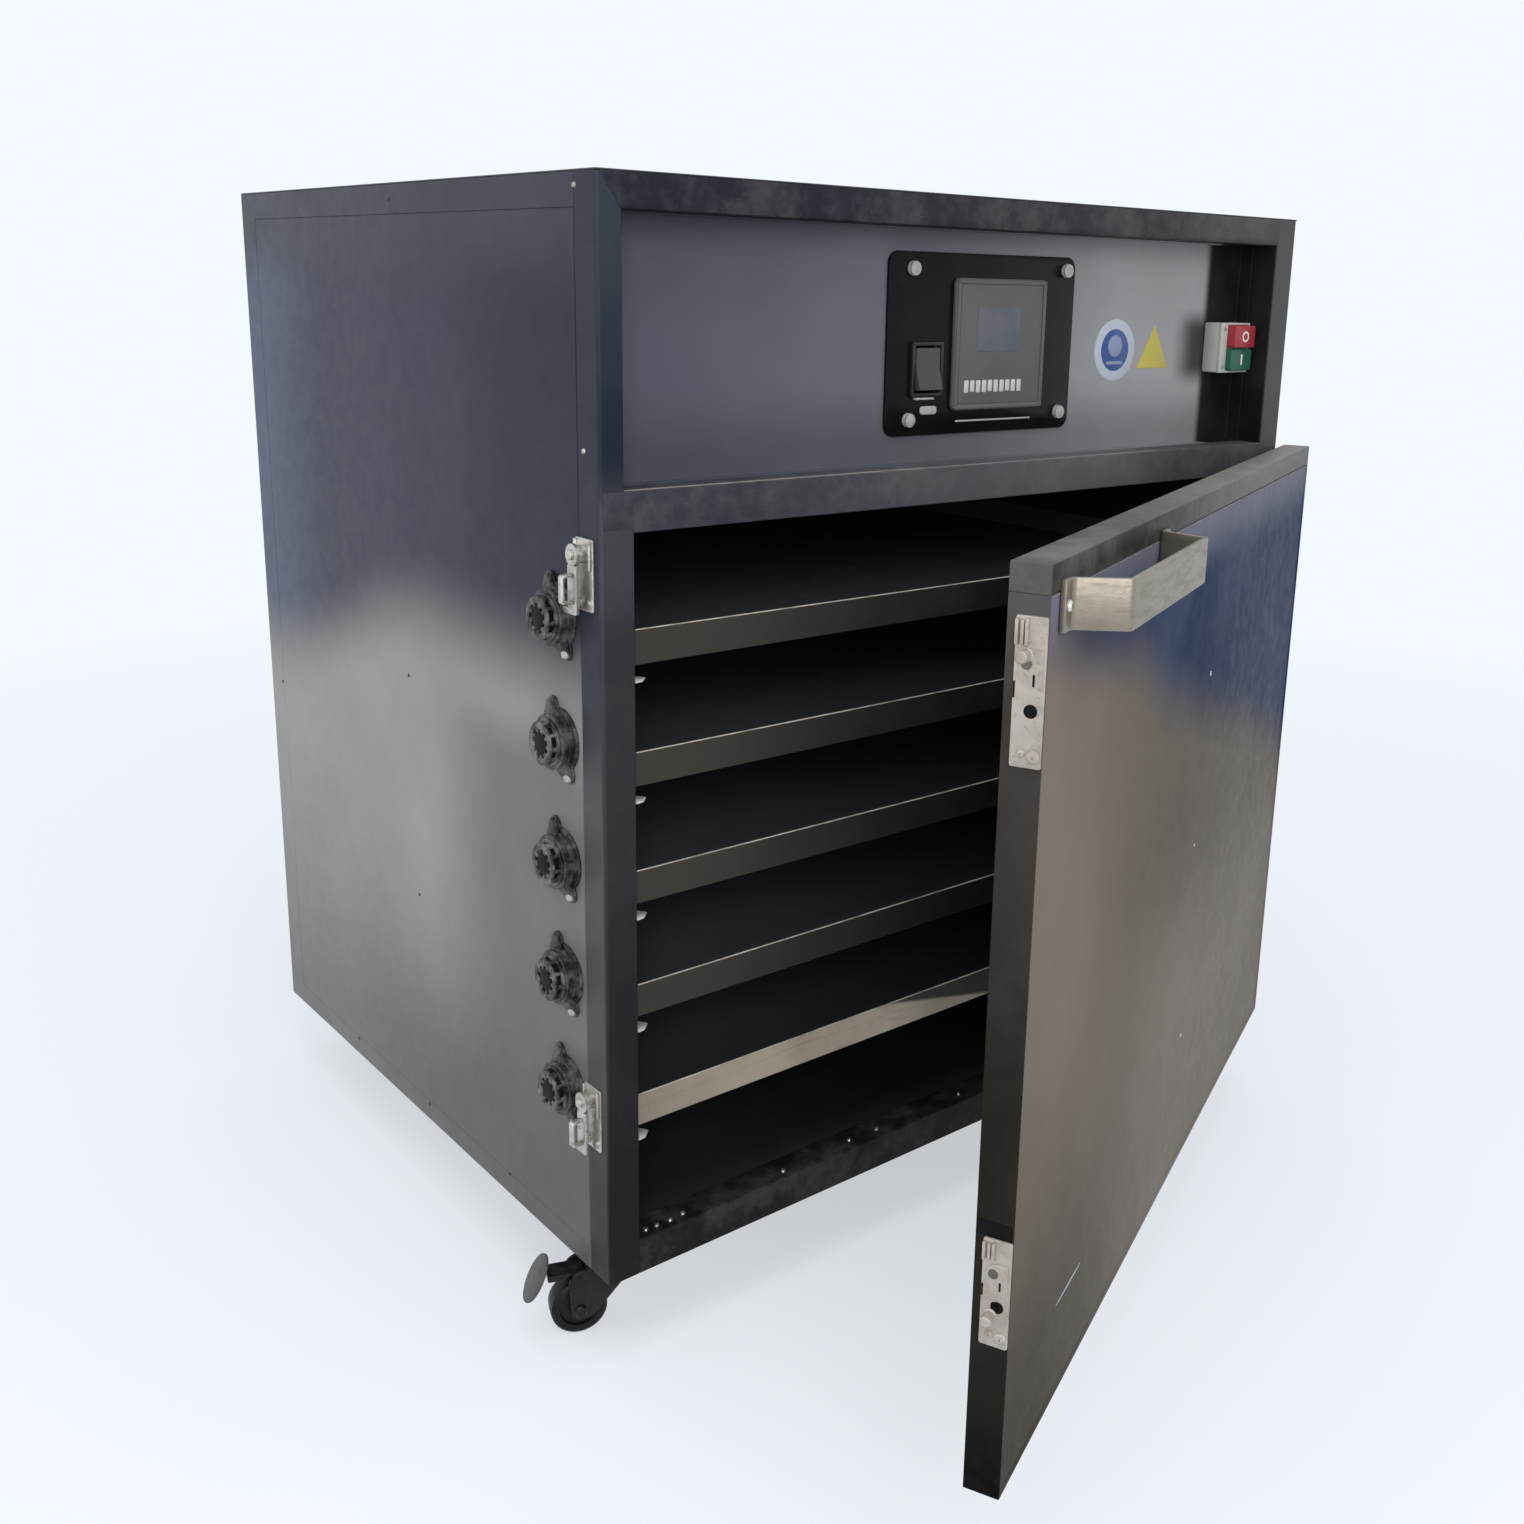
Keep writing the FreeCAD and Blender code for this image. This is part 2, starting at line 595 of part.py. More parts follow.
def build_door():
    """The door, drawn closed with the hinge axis at its origin, then hung ajar."""
    x1 = -hinge_edge_gap
    x0 = x1 - door_width
    y1 = hinge_back_gap
    y0 = y1 - door_thickness
    z0 = door_bottom
    z1 = door_bottom + door_height

    outline = block("door_outline", (x0, y0, z0), (x1, y1, z1))
    window = block("door_inside", (x0 + door_border, y0 - 1, z0 + door_border),
                   (x1 - door_border, y1 + 1, z1 - door_border))
    keep("door_frame", hang_on_door(cut("door_frame", outline, window)))

    skin_y = y0 + 1
    in_low = (x0 + door_border, skin_y, z0 + door_border)
    in_high = (x1 - door_border, skin_y + sheet_metal, z1 - door_border)
    keep("door_skin", hang_on_door(group("door_skin", block("skin_sheet", in_low, in_high))))
    back_low = (x0 + door_border, y1 - sheet_metal, z0 + door_border)
    back_high = (x1 - door_border, y1, z1 - door_border)
    keep("door_inner_panel", hang_on_door(group(
        "door_inner_panel", block("inner_sheet", back_low, back_high))))
    core_low = (x0 + door_border + 1, skin_y + sheet_metal + 0.5, z0 + door_border + 1)
    core_high = (x1 - door_border - 1, y1 - sheet_metal - 0.5, z1 - door_border - 1)
    keep("door_insulation", hang_on_door(group(
        "door_insulation", block("door_core", core_low, core_high))))

    seal_out = block("seal_outline", (x0 + 14, y1, z0 + 6), (x1 - 16, y1 + 1.9, z1 - 6))
    seal_in = block("seal_inside", (x0 + 24, y1 - 1, z0 + 16), (x1 - 26, y1 + 3, z1 - 16))
    keep("door_gasket", hang_on_door(cut("door_gasket", seal_out, seal_in)))

    # Flat-bar bridge handle, as one outline seen from above.
    bar = 4
    standoff = 38
    foot_left = x1 - 839.5
    foot_right = x1 - 596
    bend_left = x1 - 812
    bend_right = x1 - 620
    face = y0
    outline = [
        (foot_left, face),
        (foot_left, face - bar),
        (foot_left + 12, face - bar),
        (bend_left, face - standoff),
        (bend_right, face - standoff),
        (foot_right - 12, face - bar),
        (foot_right, face - bar),
        (foot_right, face),
        (foot_right - 14, face),
        (bend_right - 3, face - standoff + bar),
        (bend_left + 3, face - standoff + bar),
        (foot_left + 14, face),
    ]
    bridge = prism("handle_bar", TOP_VIEW, outline, (0, 0, 622), 33)
    keep("door_handle", hang_on_door(group("door_handle", bridge)))

    strikes = []
    screws = []
    latches = (
        ("top", latch_top_height, 540, 635),
        ("bottom", latch_bottom_height, 131, 212),
    )
    for where, size, low, high in latches:
        strip = block(f"strike_plate_{where}", (x0 - 2, y0, low), (x0, y0 + 20.4, high))
        stud = rod(f"strike_stud_{where}", "X", (x0 - 12, y1 - 9.7, size + 5), 4, 10)
        strikes.append(fuse(f"strike_{where}", strip, stud))
        for tag, z in (("a", low + 9), ("b", high - 9)):
            start = (x0 - 4, y0 + 7, z)
            screws.append(rod(f"strike_screw_{where}_{tag}", "X", start, 3.6, 2))
    keep("door_strikes", hang_on_door(group("door_strikes", *strikes)))
    for tag, x in (("a", foot_left + 6), ("b", foot_right - 6)):
        screws.append(rod(f"handle_screw_{tag}", "Y", (x, face - bar - 2.5, 638.5), 4, 2.5))
    keep("door_screws", hang_on_door(group("door_screws", *screws)))


def build_hinges():
    """Two butt hinges: knuckle and strap on the body, knuckles and leaf on the door."""
    pin_x = left + hinge_x
    pin_y = front + hinge_y
    straps = []
    leaves = []
    for name, size in (("top", 560), ("bottom", 110)):
        z = height(size)
        leaf = block(f"strap_leaf_{name}", (right, front + 4, z - 30),
                     (right + 2.5, front + 34, z + 30))
        reach = block(f"strap_reach_{name}", (right + 2.5, front + 4, z - 9.8),
                      (pin_x + 4, front + 6.5, z + 9.8))
        wrap = block(f"strap_wrap_{name}", (pin_x + 1.5, pin_y, z - 9.8),
                     (pin_x + 4, front + 4, z + 9.8))
        knuckle = rod(f"strap_knuckle_{name}", "Z", (pin_x, pin_y, z - 9.8), 4, 19.6)
        bore = rod(f"strap_bore_{name}", "Z", (pin_x, pin_y, z - 12), 2.08, 24)
        straps.append(cut(f"strap_{name}", fuse(f"strap_solid_{name}", leaf, reach, wrap, knuckle),
                          bore))

        pin = rod(f"hinge_pin_{name}", "Z", (0, 0, size - 30), 2, 60)
        parts = [pin]
        for tag, low in (("low", size - 30), ("high", size + 10)):
            parts.append(rod(f"door_knuckle_{tag}_{name}", "Z", (0, 0, low), 4, 20))
            parts.append(block(f"door_leaf_{tag}_{name}", (-hinge_edge_gap, -20, low),
                               (-hinge_edge_gap + 2.2, 0, low + 20)))
        leaves.append(fuse(f"door_leaf_{name}", *parts))
    keep("cabinet_hinge_straps", group("cabinet_hinge_straps", *straps))
    keep("door_hinge_leaves", hang_on_door(group("door_hinge_leaves", *leaves)))


def build_casters():
    """Four swivel casters; the two at the front have a brake pedal."""
    axle_drop = base - wheel_radius
    plates = []
    front_y = front + front_caster_inset_y
    rear_y = back - rear_caster_inset_y
    corners = (
        ("front_left", left + front_caster_inset_x, front_y, front_caster_angle, True),
        ("front_right", right - front_caster_inset_x, front_y, front_caster_angle, True),
        ("rear_left", left + rear_caster_inset_x, rear_y, rear_caster_angle, False),
        ("rear_right", right - rear_caster_inset_x, rear_y, rear_caster_angle, False),
    )

    def turn_to_trail(item, x, y, angle):
        item.Placement = FreeCAD.Placement(Vector(), FreeCAD.Rotation(Vector(0, 0, 1), 1))
        item.setExpression(".Placement.Rotation.Angle", formula_of(angle))
        place(item, (x, y, base))
        return item

    for where, x, y, angle, braked in corners:
        plate = block(f"caster_plate_{where}", (x - 28, y - 30, base - 3), (x + 28, y + 30, base))
        stem = rod(f"caster_stem_{where}", "Z", (x, y, base - 9), 6, 6)
        plates.append(fuse(f"caster_top_{where}", plate, stem))

        disc = rod(f"fork_disc_{where}", "Z", (0, 0, -12), 19, 8.7)
        bridge = block(f"fork_bridge_{where}", (-10, -14.5, -15), (24, 14.5, -12))
        pieces = [disc, bridge]
        for side, y0 in (("a", -14.5), ("b", 12)):
            leg = [(-10, -12), (-10, -26), (20, -60), (38, -60), (40, -20), (30, -12)]
            pieces.append(prism(f"fork_leg_{side}_{where}", FRONT_VIEW, leg, (0, y0 + 2.5, 0), 2.5))
        drop = -axle_drop
        axle = rod(f"fork_axle_{where}", "Y", (caster_trail, -17, drop), 4, 34)
        pieces.append(axle)
        if braked:
            pieces.append(rod(f"pedal_pin_{where}", "Y", (30, -14.5, -18), 2, 29))
        socket = rod(f"fork_socket_{where}", "Z", (0, 0, -20), 6.08, 30)
        fork = cut(f"caster_fork_{where}", fuse(f"fork_solid_{where}", *pieces), socket)
        keep(f"caster_fork_{where}", turn_to_trail(fork, x, y, angle))

        tyre = rod(f"wheel_blank_{where}", "Y", (caster_trail, -wheel_width / 2, drop),
                   wheel_radius, wheel_width)
        bore = rod(f"wheel_bore_{where}", "Y", (caster_trail, -20, drop), 4.06, 40)
        grooves = []
        for side, y0 in (("a", -11), ("b", 7)):
            ring = rod(f"wheel_ring_{side}_{where}", "Y", (caster_trail, y0, drop), 17, 4)
            hub = rod(f"wheel_hub_{side}_{where}", "Y", (caster_trail, y0, drop), 9, 4)
            grooves.append(cut(f"wheel_groove_{side}_{where}", ring, hub))
        wheel = cut(f"caster_wheel_{where}", tyre, bore, *grooves)
        keep(f"caster_wheel_{where}", turn_to_trail(wheel, x, y, angle))

        if braked:
            arm = block(f"pedal_arm_{where}", (25, -10, -21.5), (64, 10, -15.5))
            plate_tilt = FreeCAD.Rotation(Vector(0, 1, 0), 62)
            foot = rod(f"pedal_plate_{where}", "Z", (65, 0, -21), 22, 2.5)
            foot.Placement = FreeCAD.Placement(Vector(65, 0, -21), plate_tilt)
            sides = block(f"pedal_trim_{where}", (40, -18, -60), (90, 18, 10))
            plate = doc.addObject("Part::MultiCommon", f"pedal_oval_{where}")
            plate.Shapes = [foot, sides]
            pedal = fuse(f"pedal_blank_{where}", arm, plate)
            hole = rod(f"pedal_bore_{where}", "Y", (30, -16, -18), 2.06, 32)
            brake = cut(f"brake_pedal_{where}", pedal, hole)
            keep(f"brake_pedal_{where}", turn_to_trail(brake, x, y, angle))
    keep("caster_plates", group("caster_plates", *plates))


def check_and_write():
    """Stop on any failed object, then write one file for each piece."""
    doc.recompute()
    for item in doc.Objects:
        if "Invalid" in item.State or "Error" in item.State:
            raise RuntimeError(f"{item.Name} could not be made: {item.State}")
    os.makedirs("parts", exist_ok=True)
    for item in kept:
        if item.Shape.isNull() or not item.Shape.isValid():
            raise RuntimeError(f"{item.Label} has no valid shape")
        item.Shape.exportStep(f"parts/{item.Label}.step")
    print(f"{len(kept)} pieces written")


build_frame()
build_covers()
build_liner()
fixings = build_controls()
build_trays()
fixings += build_fans()
fixings += build_latches()
build_door()
build_hinges()
build_casters()
keep("cabinet_screws", group("cabinet_screws", *fixings))
check_and_write()
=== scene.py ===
"""Looks of a five-tray drying cabinet with its door ajar.

Pieces are drawn in millimetres from the body's front left bottom corner, or, on the door, from
its hinge axis with the door closed, and are then set in the frame.
"""
import math

import bmesh
import bpy
from mathutils import Matrix, Vector


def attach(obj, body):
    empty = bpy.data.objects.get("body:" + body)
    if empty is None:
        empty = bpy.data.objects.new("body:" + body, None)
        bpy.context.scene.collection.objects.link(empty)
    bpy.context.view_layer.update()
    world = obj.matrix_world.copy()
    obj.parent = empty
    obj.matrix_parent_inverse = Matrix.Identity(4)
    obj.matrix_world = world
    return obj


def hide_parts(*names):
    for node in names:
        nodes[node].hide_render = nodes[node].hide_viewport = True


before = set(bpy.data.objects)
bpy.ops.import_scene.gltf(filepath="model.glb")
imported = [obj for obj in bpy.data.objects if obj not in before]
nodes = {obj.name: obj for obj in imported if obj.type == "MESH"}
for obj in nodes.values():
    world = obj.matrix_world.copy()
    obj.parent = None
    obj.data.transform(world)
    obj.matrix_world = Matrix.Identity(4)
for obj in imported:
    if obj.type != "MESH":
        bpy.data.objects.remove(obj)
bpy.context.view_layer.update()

LEFT, FRONT, BASE = -411.0, -163.9, 76.5
WIDTH, DEPTH = 846.0, 702.0
HINGE = Vector((858.5, -8.0, 0.0))
DOOR_ANGLE = math.radians(24)
MM = Matrix.Scale(0.001, 4)
BODY = MM @ Matrix.Translation((LEFT, FRONT, BASE))
DOOR = BODY @ Matrix.Translation(HINGE) @ Matrix.Rotation(DOOR_ANGLE, 4, "Z")

# The door about its hinge axis, closed.
DOOR_RIGHT = -4.6
DOOR_LEFT = DOOR_RIGHT - 857.5
DOOR_BACK = 5.66
DOOR_FACE = DOOR_BACK - 27.0
DOOR_LOW, DOOR_HIGH = 10.0, 667.0
BORDER, TOP_BAR = 4.5, 19.0
# The strikes' outer face, and their edge towards the cabinet.
STRIKE_FACE = DOOR_LEFT - 2.0
STRIKE_BACK = DOOR_FACE + 20.4
# Chips on the door: place, half width and height, and lean in degrees.
PAINT_CHIPS = ((-722.0, 93.0, 30.0, 0.8, 0), (-398.0, 153.0, 2.4, 1.8, 0),
               (-399.0, 500.7, 3.0, 2.2, 30), (-407.7, 343.9, 2.2, 1.6, 0))

MID_RAIL_TOP, BOTTOM_RAIL_TOP = 669.6, 32
# The side sheets' edges: front, rear, foot and top.
SHEET_SEAMS = (31.0, 665.0, 23.0, 872.6)
# Rivets of a side sheet, as depth and height, and spots on the floor, as place across and depth.
SIDE_RIVETS = ((343, 886), (670, 384), (511, 18.5), (339, 17.5), (173, 21), (344, 459), (341, 241))
FLOOR_SPOTS = ((42.5, 10.0), (53.4, 9.6), (67.0, 9.2), (81.1, 10.6), (191.5, 9.6), (274, 13.1),
               (307.5, 12.0), (418, 12.0))

# The fascia's and the control plate's faces, and what is on them, as left, foot, right and top.
RECESS_Y = 45.0
PLATE_Y = RECESS_Y - 3.0
PLATE = (316.5, 693.5, 554.2, 853.3)
DISPLAY = (394.0, 714.6, 511.0, 832.0)
GLASS = (421.2, 767.2, 475.8, 806.8)
ROCKER_RIM = (344.0, 728.0, 381.6, 776.0)
ROCKER_WINDOW = (347.0, 731.0, 378.6, 773.0)
STARTER = (764.0, 743.0)

TRAY_TOPS = [166.0 + 99.0 * level for level in range(5)]
MOTOR_HEIGHTS = [162.0 + 101.3 * level for level in range(5)]
MOTOR_Y = 61.0
MOTOR_FACE = -2.5
# A latch's stud: its depth, and its height over the latch's middle.
STUD_Y, STUD_LIFT = 22.0, 16.0
# A caster's axle, ahead of its stem and under the body.
AXLE = (30, -51.5)

# The photograph's side, focal length and optical centre in its pixels.
PHOTO_SIDE, PHOTO_FOCAL = 1524.0, 1553.5
PHOTO_CENTRE = (838.67, 668.21)
# The camera's place on the body, and its yaw, pitch and roll in degrees.
CAMERA_PLACE = Vector((-599.4, -989.3, 825.7))
CAMERA_TURN = (40.154, 13.959, -1.414)
PALE = (0.9, 0.945, 0.99, 1)
# Two points nearer than this, in millimetres, are one.
NEAR = 0.01


# -------------------------------- camera and light

def set_camera():
    camera = bpy.data.cameras.new("camera")
    camera.sensor_width = 36.0
    camera.lens = camera.sensor_width * PHOTO_FOCAL / PHOTO_SIDE
    camera.shift_x = (PHOTO_SIDE / 2 - PHOTO_CENTRE[0]) / PHOTO_SIDE
    camera.shift_y = (PHOTO_CENTRE[1] - PHOTO_SIDE / 2) / PHOTO_SIDE
    camera.clip_start = 0.05
    yaw, pitch, roll = (math.radians(angle) for angle in CAMERA_TURN)
    forward = Vector((math.sin(yaw) * math.cos(pitch), math.cos(yaw) * math.cos(pitch),
                      -math.sin(pitch)))
    side = Vector((math.cos(yaw), -math.sin(yaw), 0))
    down = forward.cross(side)
    across = math.cos(roll) * side + math.sin(roll) * down
    below = -math.sin(roll) * side + math.cos(roll) * down
    turn = Matrix((across, -below, -forward)).transposed().to_4x4()
    camera_object = bpy.data.objects.new("camera", camera)
    camera_object.matrix_world = Matrix.Translation(BODY @ CAMERA_PLACE) @ turn
    bpy.context.scene.collection.objects.link(camera_object)
    bpy.context.scene.camera = camera_object


def add_lamp(name, place, aim, size, power, colour):
    light = bpy.data.lights.new(name, "AREA")
    light.shape = "RECTANGLE"
    light.size, light.size_y = size
    light.energy = power
    light.color = colour
    lamp = bpy.data.objects.new(name, light)
    place = Vector(place)
    lamp.matrix_world = (Matrix.Translation(place)
                         @ (Vector(aim) - place).to_track_quat("-Z", "Y").to_matrix().to_4x4())
    bpy.context.scene.collection.objects.link(lamp)


def pale_to_sight(tree):
    """1 for camera, glossy and transmission rays, which see the pale background, and 0 for light."""
    path = tree.nodes.new("ShaderNodeLightPath")
    seen = path.outputs["Is Camera Ray"]
    for name in ("Is Glossy Ray", "Is Transmission Ray"):
        add = tree.nodes.new("ShaderNodeMath")
        add.operation = "MAXIMUM"
        tree.links.new(seen, add.inputs[0])
        tree.links.new(path.outputs[name], add.inputs[1])
        seen = add.outputs[0]
    return seen


def set_light():
    scene = bpy.context.scene
    scene.view_settings.view_transform = "Standard"
    world = bpy.data.worlds.new("studio")
    world.use_nodes = True
    tree = world.node_tree
    tree.nodes.clear()
    out = tree.nodes.new("ShaderNodeOutputWorld")
    background = tree.nodes.new("ShaderNodeBackground")
    mix = tree.nodes.new("ShaderNodeMix")
    mix.data_type = "RGBA"
    mix.inputs["A"].default_value = (0.5, 0.515, 0.54, 1)
    mix.inputs["B"].default_value = PALE
    tree.links.new(pale_to_sight(tree), mix.inputs["Factor"])
    tree.links.new(mix.outputs["Result"], background.inputs["Color"])
    tree.links.new(background.outputs[0], out.inputs["Surface"])
    scene.world = world
    add_lamp("window", (-1.7, -2.9, 1.6), (0.0, 0.0, 0.45), (2.0, 1.8), 46, (1.0, 0.985, 0.96))
    add_lamp("ceiling", (-0.2, -0.4, 3.2), (0.0, 0.0, 0.5), (2.6, 2.6), 40, (0.93, 0.96, 1.0))
    add_lamp("side", (-3.0, 0.6, 0.8), (0.0, 0.2, 0.4), (1.6, 1.4), 14, (1.0, 0.99, 0.96))


def set_floor():
    bm = bmesh.new()
    bmesh.ops.create_grid(bm, x_segments=1, y_segments=1, size=14)
    bmesh.ops.translate(bm, verts=bm.verts, vec=(0, 0, -0.0005))
    mesh = bpy.data.meshes.new("floor")
    bm.to_mesh(mesh)
    bm.free()
    floor = bpy.data.objects.new("floor", mesh)
    bpy.context.scene.collection.objects.link(floor)
    material = bpy.data.materials.new("floor")
    material.use_nodes = True
    g = Graph(material.node_tree)
    shader = material.node_tree.nodes["Principled BSDF"].inputs
    shader["Roughness"].default_value = 0.9
    shader["Specular IOR Level"].default_value = 0.0
    # Pale to the eye and fully so away from the object; grey to the light that it throws back.
    seen = pale_to_sight(material.node_tree)
    far = g.put("ShaderNodeVectorMath", operation="LENGTH")
    g.feed(far.inputs[0], g.place())
    away = g.ramp(far.outputs["Value"], 0.7, 3.2)
    bright = g.sums("MULTIPLY", seen, away)
    g.feed(shader["Base Color"], g.blend(bright, (0.42, 0.43, 0.45), (0, 0, 0)))
    g.feed(shader["Emission Color"], PALE[:3])
    g.feed(shader["Emission Strength"], g.sums("MULTIPLY", seen, g.sums(
        "MULTIPLY_ADD", away, 0.42, 0.58)))
    mesh.materials.append(material)


# -------------------------------- materials

class Graph:
    """A node tree with short calls for the nodes that the finishes need."""

    def __init__(self, tree):
        self.tree = tree

    def put(self, kind, **settings):
        node = self.tree.nodes.new(kind)
        for name, value in settings.items():
            setattr(node, name, value)
        return node

    def feed(self, socket, value):
        if isinstance(value, bpy.types.NodeSocket):
            self.tree.links.new(value, socket)
        elif isinstance(value, (tuple, list)) and len(value) == 3 and socket.type == "RGBA":
            socket.default_value = (*value, 1)
        else:
            socket.default_value = value

    def place(self):
        return self.put("ShaderNodeTexCoord").outputs["Object"]

    def turned(self, vector, offset=(0, 0, 0), turn=(0, 0, 0), scale=(1, 1, 1)):
        node = self.put("ShaderNodeMapping")
        self.feed(node.inputs["Vector"], vector)
        node.inputs["Location"].default_value = offset
        node.inputs["Rotation"].default_value = turn
        node.inputs["Scale"].default_value = scale
        return node.outputs[0]

    def noise(self, vector, scale, detail=3.0, rough=0.55):
        node = self.put("ShaderNodeTexNoise")
        self.feed(node.inputs["Vector"], vector)
        self.feed(node.inputs["Scale"], scale)
        node.inputs["Detail"].default_value = detail
        node.inputs["Roughness"].default_value = rough
        return node.outputs["Fac"]

    def cells(self, vector, scale):
        node = self.put("ShaderNodeTexVoronoi")
        self.feed(node.inputs["Vector"], vector)
        self.feed(node.inputs["Scale"], scale)
        return node.outputs["Distance"]

    def sums(self, operation, a, b=0.0, c=None, clamp=False):
        node = self.put("ShaderNodeMath", operation=operation, use_clamp=clamp)
        self.feed(node.inputs[0], a)
        self.feed(node.inputs[1], b)
        if c is not None:
            self.feed(node.inputs[2], c)
        return node.outputs[0]

    def ramp(self, value, low, high, start=0.0, end=1.0):
        node = self.put("ShaderNodeMapRange", interpolation_type="SMOOTHSTEP")
        self.feed(node.inputs["Value"], value)
        self.feed(node.inputs["From Min"], low)
        self.feed(node.inputs["From Max"], high)
        self.feed(node.inputs["To Min"], start)
        self.feed(node.inputs["To Max"], end)
        return node.outputs[0]

    def blend(self, factor, a, b):
        node = self.put("ShaderNodeMix", data_type="RGBA")
        self.feed(node.inputs["Factor"], factor)
        self.feed(node.inputs["A"], a)
        self.feed(node.inputs["B"], b)
        return node.outputs["Result"]

    def axes(self, vector):
        node = self.put("ShaderNodeSeparateXYZ")
        self.feed(node.inputs[0], vector)
        return node.outputs

    def use(self, group, **values):
        node = self.put("ShaderNodeGroup", node_tree=group)
        for name, value in values.items():
            self.feed(node.inputs[name.replace("_", " ")], value)
        return node.outputs


def effect(name, inputs, outputs):
    """An empty node group with named sockets; returns it, its graph and both ends' sockets."""
    tree = bpy.data.node_groups.new(name, "ShaderNodeTree")
    kinds = {"value": "NodeSocketFloat", "colour": "NodeSocketColor", "vector": "NodeSocketVector"}
    for socket, (kind, default) in inputs.items():
        made = tree.interface.new_socket(name=socket, in_out="INPUT", socket_type=kinds[kind])
        if default is not None:
            made.default_value = (*default, 1) if kind == "colour" else default
    for socket, kind in outputs.items():
        tree.interface.new_socket(name=socket, in_out="OUTPUT", socket_type=kinds[kind])
    graph = Graph(tree)
    start = graph.put("NodeGroupInput")
    end = graph.put("NodeGroupOutput")
    return tree, graph, start.outputs, end.inputs


def paint_group():
    """Sprayed paint: soft mottling, orange peel, dust film and pale flecks."""
    tree, g, take, give = effect(
        "sprayed paint",
        {"Vector": ("vector", None), "Base": ("colour", (0.1, 0.1, 0.1)),
         "Dust": ("colour", (0.3, 0.28, 0.26)), "Film": ("value", 0.1),
         "Flecks": ("value", 0.2), "Rough": ("value", 0.4)},
        {"Color": "colour", "Rough": "value", "Height": "value"})
    cloud = g.noise(take["Vector"], 5.0, 4.0, 0.6)
    fine = g.noise(take["Vector"], 60.0, 3.0, 0.6)
    shade = g.ramp(cloud, 0.3, 0.7, 0.93, 1.07)
    tone = g.put("ShaderNodeVectorMath", operation="SCALE")
    g.feed(tone.inputs[0], take["Base"])
    g.feed(tone.inputs["Scale"], shade)
    haze = g.ramp(g.noise(take["Vector"], 9.0, 5.0, 0.7), 0.38, 0.72)
    film = g.sums("MULTIPLY", take["Film"], haze)
    dusty = g.blend(film, tone.outputs[0], take["Dust"])
    spots = g.ramp(g.cells(take["Vector"], 160.0), 0.1, 0.05)
    keep = g.ramp(g.noise(take["Vector"], 21.0, 2.0), 0.62, 0.72)
    fleck = g.sums("MULTIPLY", g.sums("MULTIPLY", spots, keep), take["Flecks"])
    g.feed(give["Color"], g.blend(fleck, dusty, take["Dust"]))
    rough = g.sums("ADD", take["Rough"], g.ramp(fine, 0.3, 0.7, -0.04, 0.06))
    g.feed(give["Rough"], g.sums("ADD", rough, g.sums("MULTIPLY", film, 0.25), clamp=True))
    peel = g.sums("MULTIPLY", g.noise(take["Vector"], 420.0, 2.0), 0.6)
    g.feed(give["Height"], g.sums("ADD", peel, g.sums("MULTIPLY", fleck, 0.8)))
    return tree


def scratch_group():
    """A mask of fine straight scratches that run along one direction."""
    tree, g, take, give = effect(
        "scratches",
        {"Vector": ("vector", None), "Scale": ("value", 40.0), "Amount": ("value", 0.5)},
        {"Mask": "value"})
    first = g.noise(take["Vector"], take["Scale"], 2.0, 0.5)
    line = g.ramp(g.sums("ABSOLUTE", g.sums("SUBTRACT", first, 0.5)), 0.012, 0.002)
    coarse = g.sums("MULTIPLY", take["Scale"], 0.21)
    patch = g.ramp(g.noise(take["Vector"], coarse, 2.0), 0.52, 0.68)
    g.feed(give["Mask"], g.sums("MULTIPLY", g.sums("MULTIPLY", line, patch), take["Amount"]))
    return tree


def metal_group():
    """Bare or plated metal: blotches, fine grain along one axis and dull spots."""
    tree, g, take, give = effect(
        "plated metal",
        {"Vector": ("vector", None), "Base": ("colour", (0.6, 0.6, 0.6)),
         "Tarnish": ("colour", (0.2, 0.18, 0.16)), "Amount": ("value", 0.4),
         "Rough": ("value", 0.35)},
        {"Color": "colour", "Rough": "value", "Height": "value"})
    blotch = g.ramp(g.noise(take["Vector"], 38.0, 5.0, 0.65), 0.42, 0.7)
    spots = g.ramp(g.noise(take["Vector"], 190.0, 3.0, 0.6), 0.56, 0.7)
    mask = g.sums("MULTIPLY", g.sums("MAXIMUM", blotch, spots), take["Amount"])
    g.feed(give["Color"], g.blend(mask, take["Base"], take["Tarnish"]))
    g.feed(give["Rough"], g.sums("ADD", take["Rough"], g.sums("MULTIPLY", mask, 0.3), clamp=True))
    g.feed(give["Height"], g.noise(take["Vector"], 260.0, 3.0, 0.6))
    return tree


PAINT = paint_group()
SCRATCH = scratch_group()
METAL = metal_group()
made_materials = {}


def start_material(name):
    material = bpy.data.materials.new(name)
    material.use_nodes = True
    graph = Graph(material.node_tree)
    made_materials[name] = material
    return graph, material.node_tree.nodes["Principled BSDF"].inputs


def bump(g, shader, height, strength):
    node = g.put("ShaderNodeBump")
    node.inputs["Strength"].default_value = strength
    node.inputs["Distance"].default_value = 0.0004
    g.feed(node.inputs["Height"], height)
    g.feed(shader["Normal"], node.outputs[0])


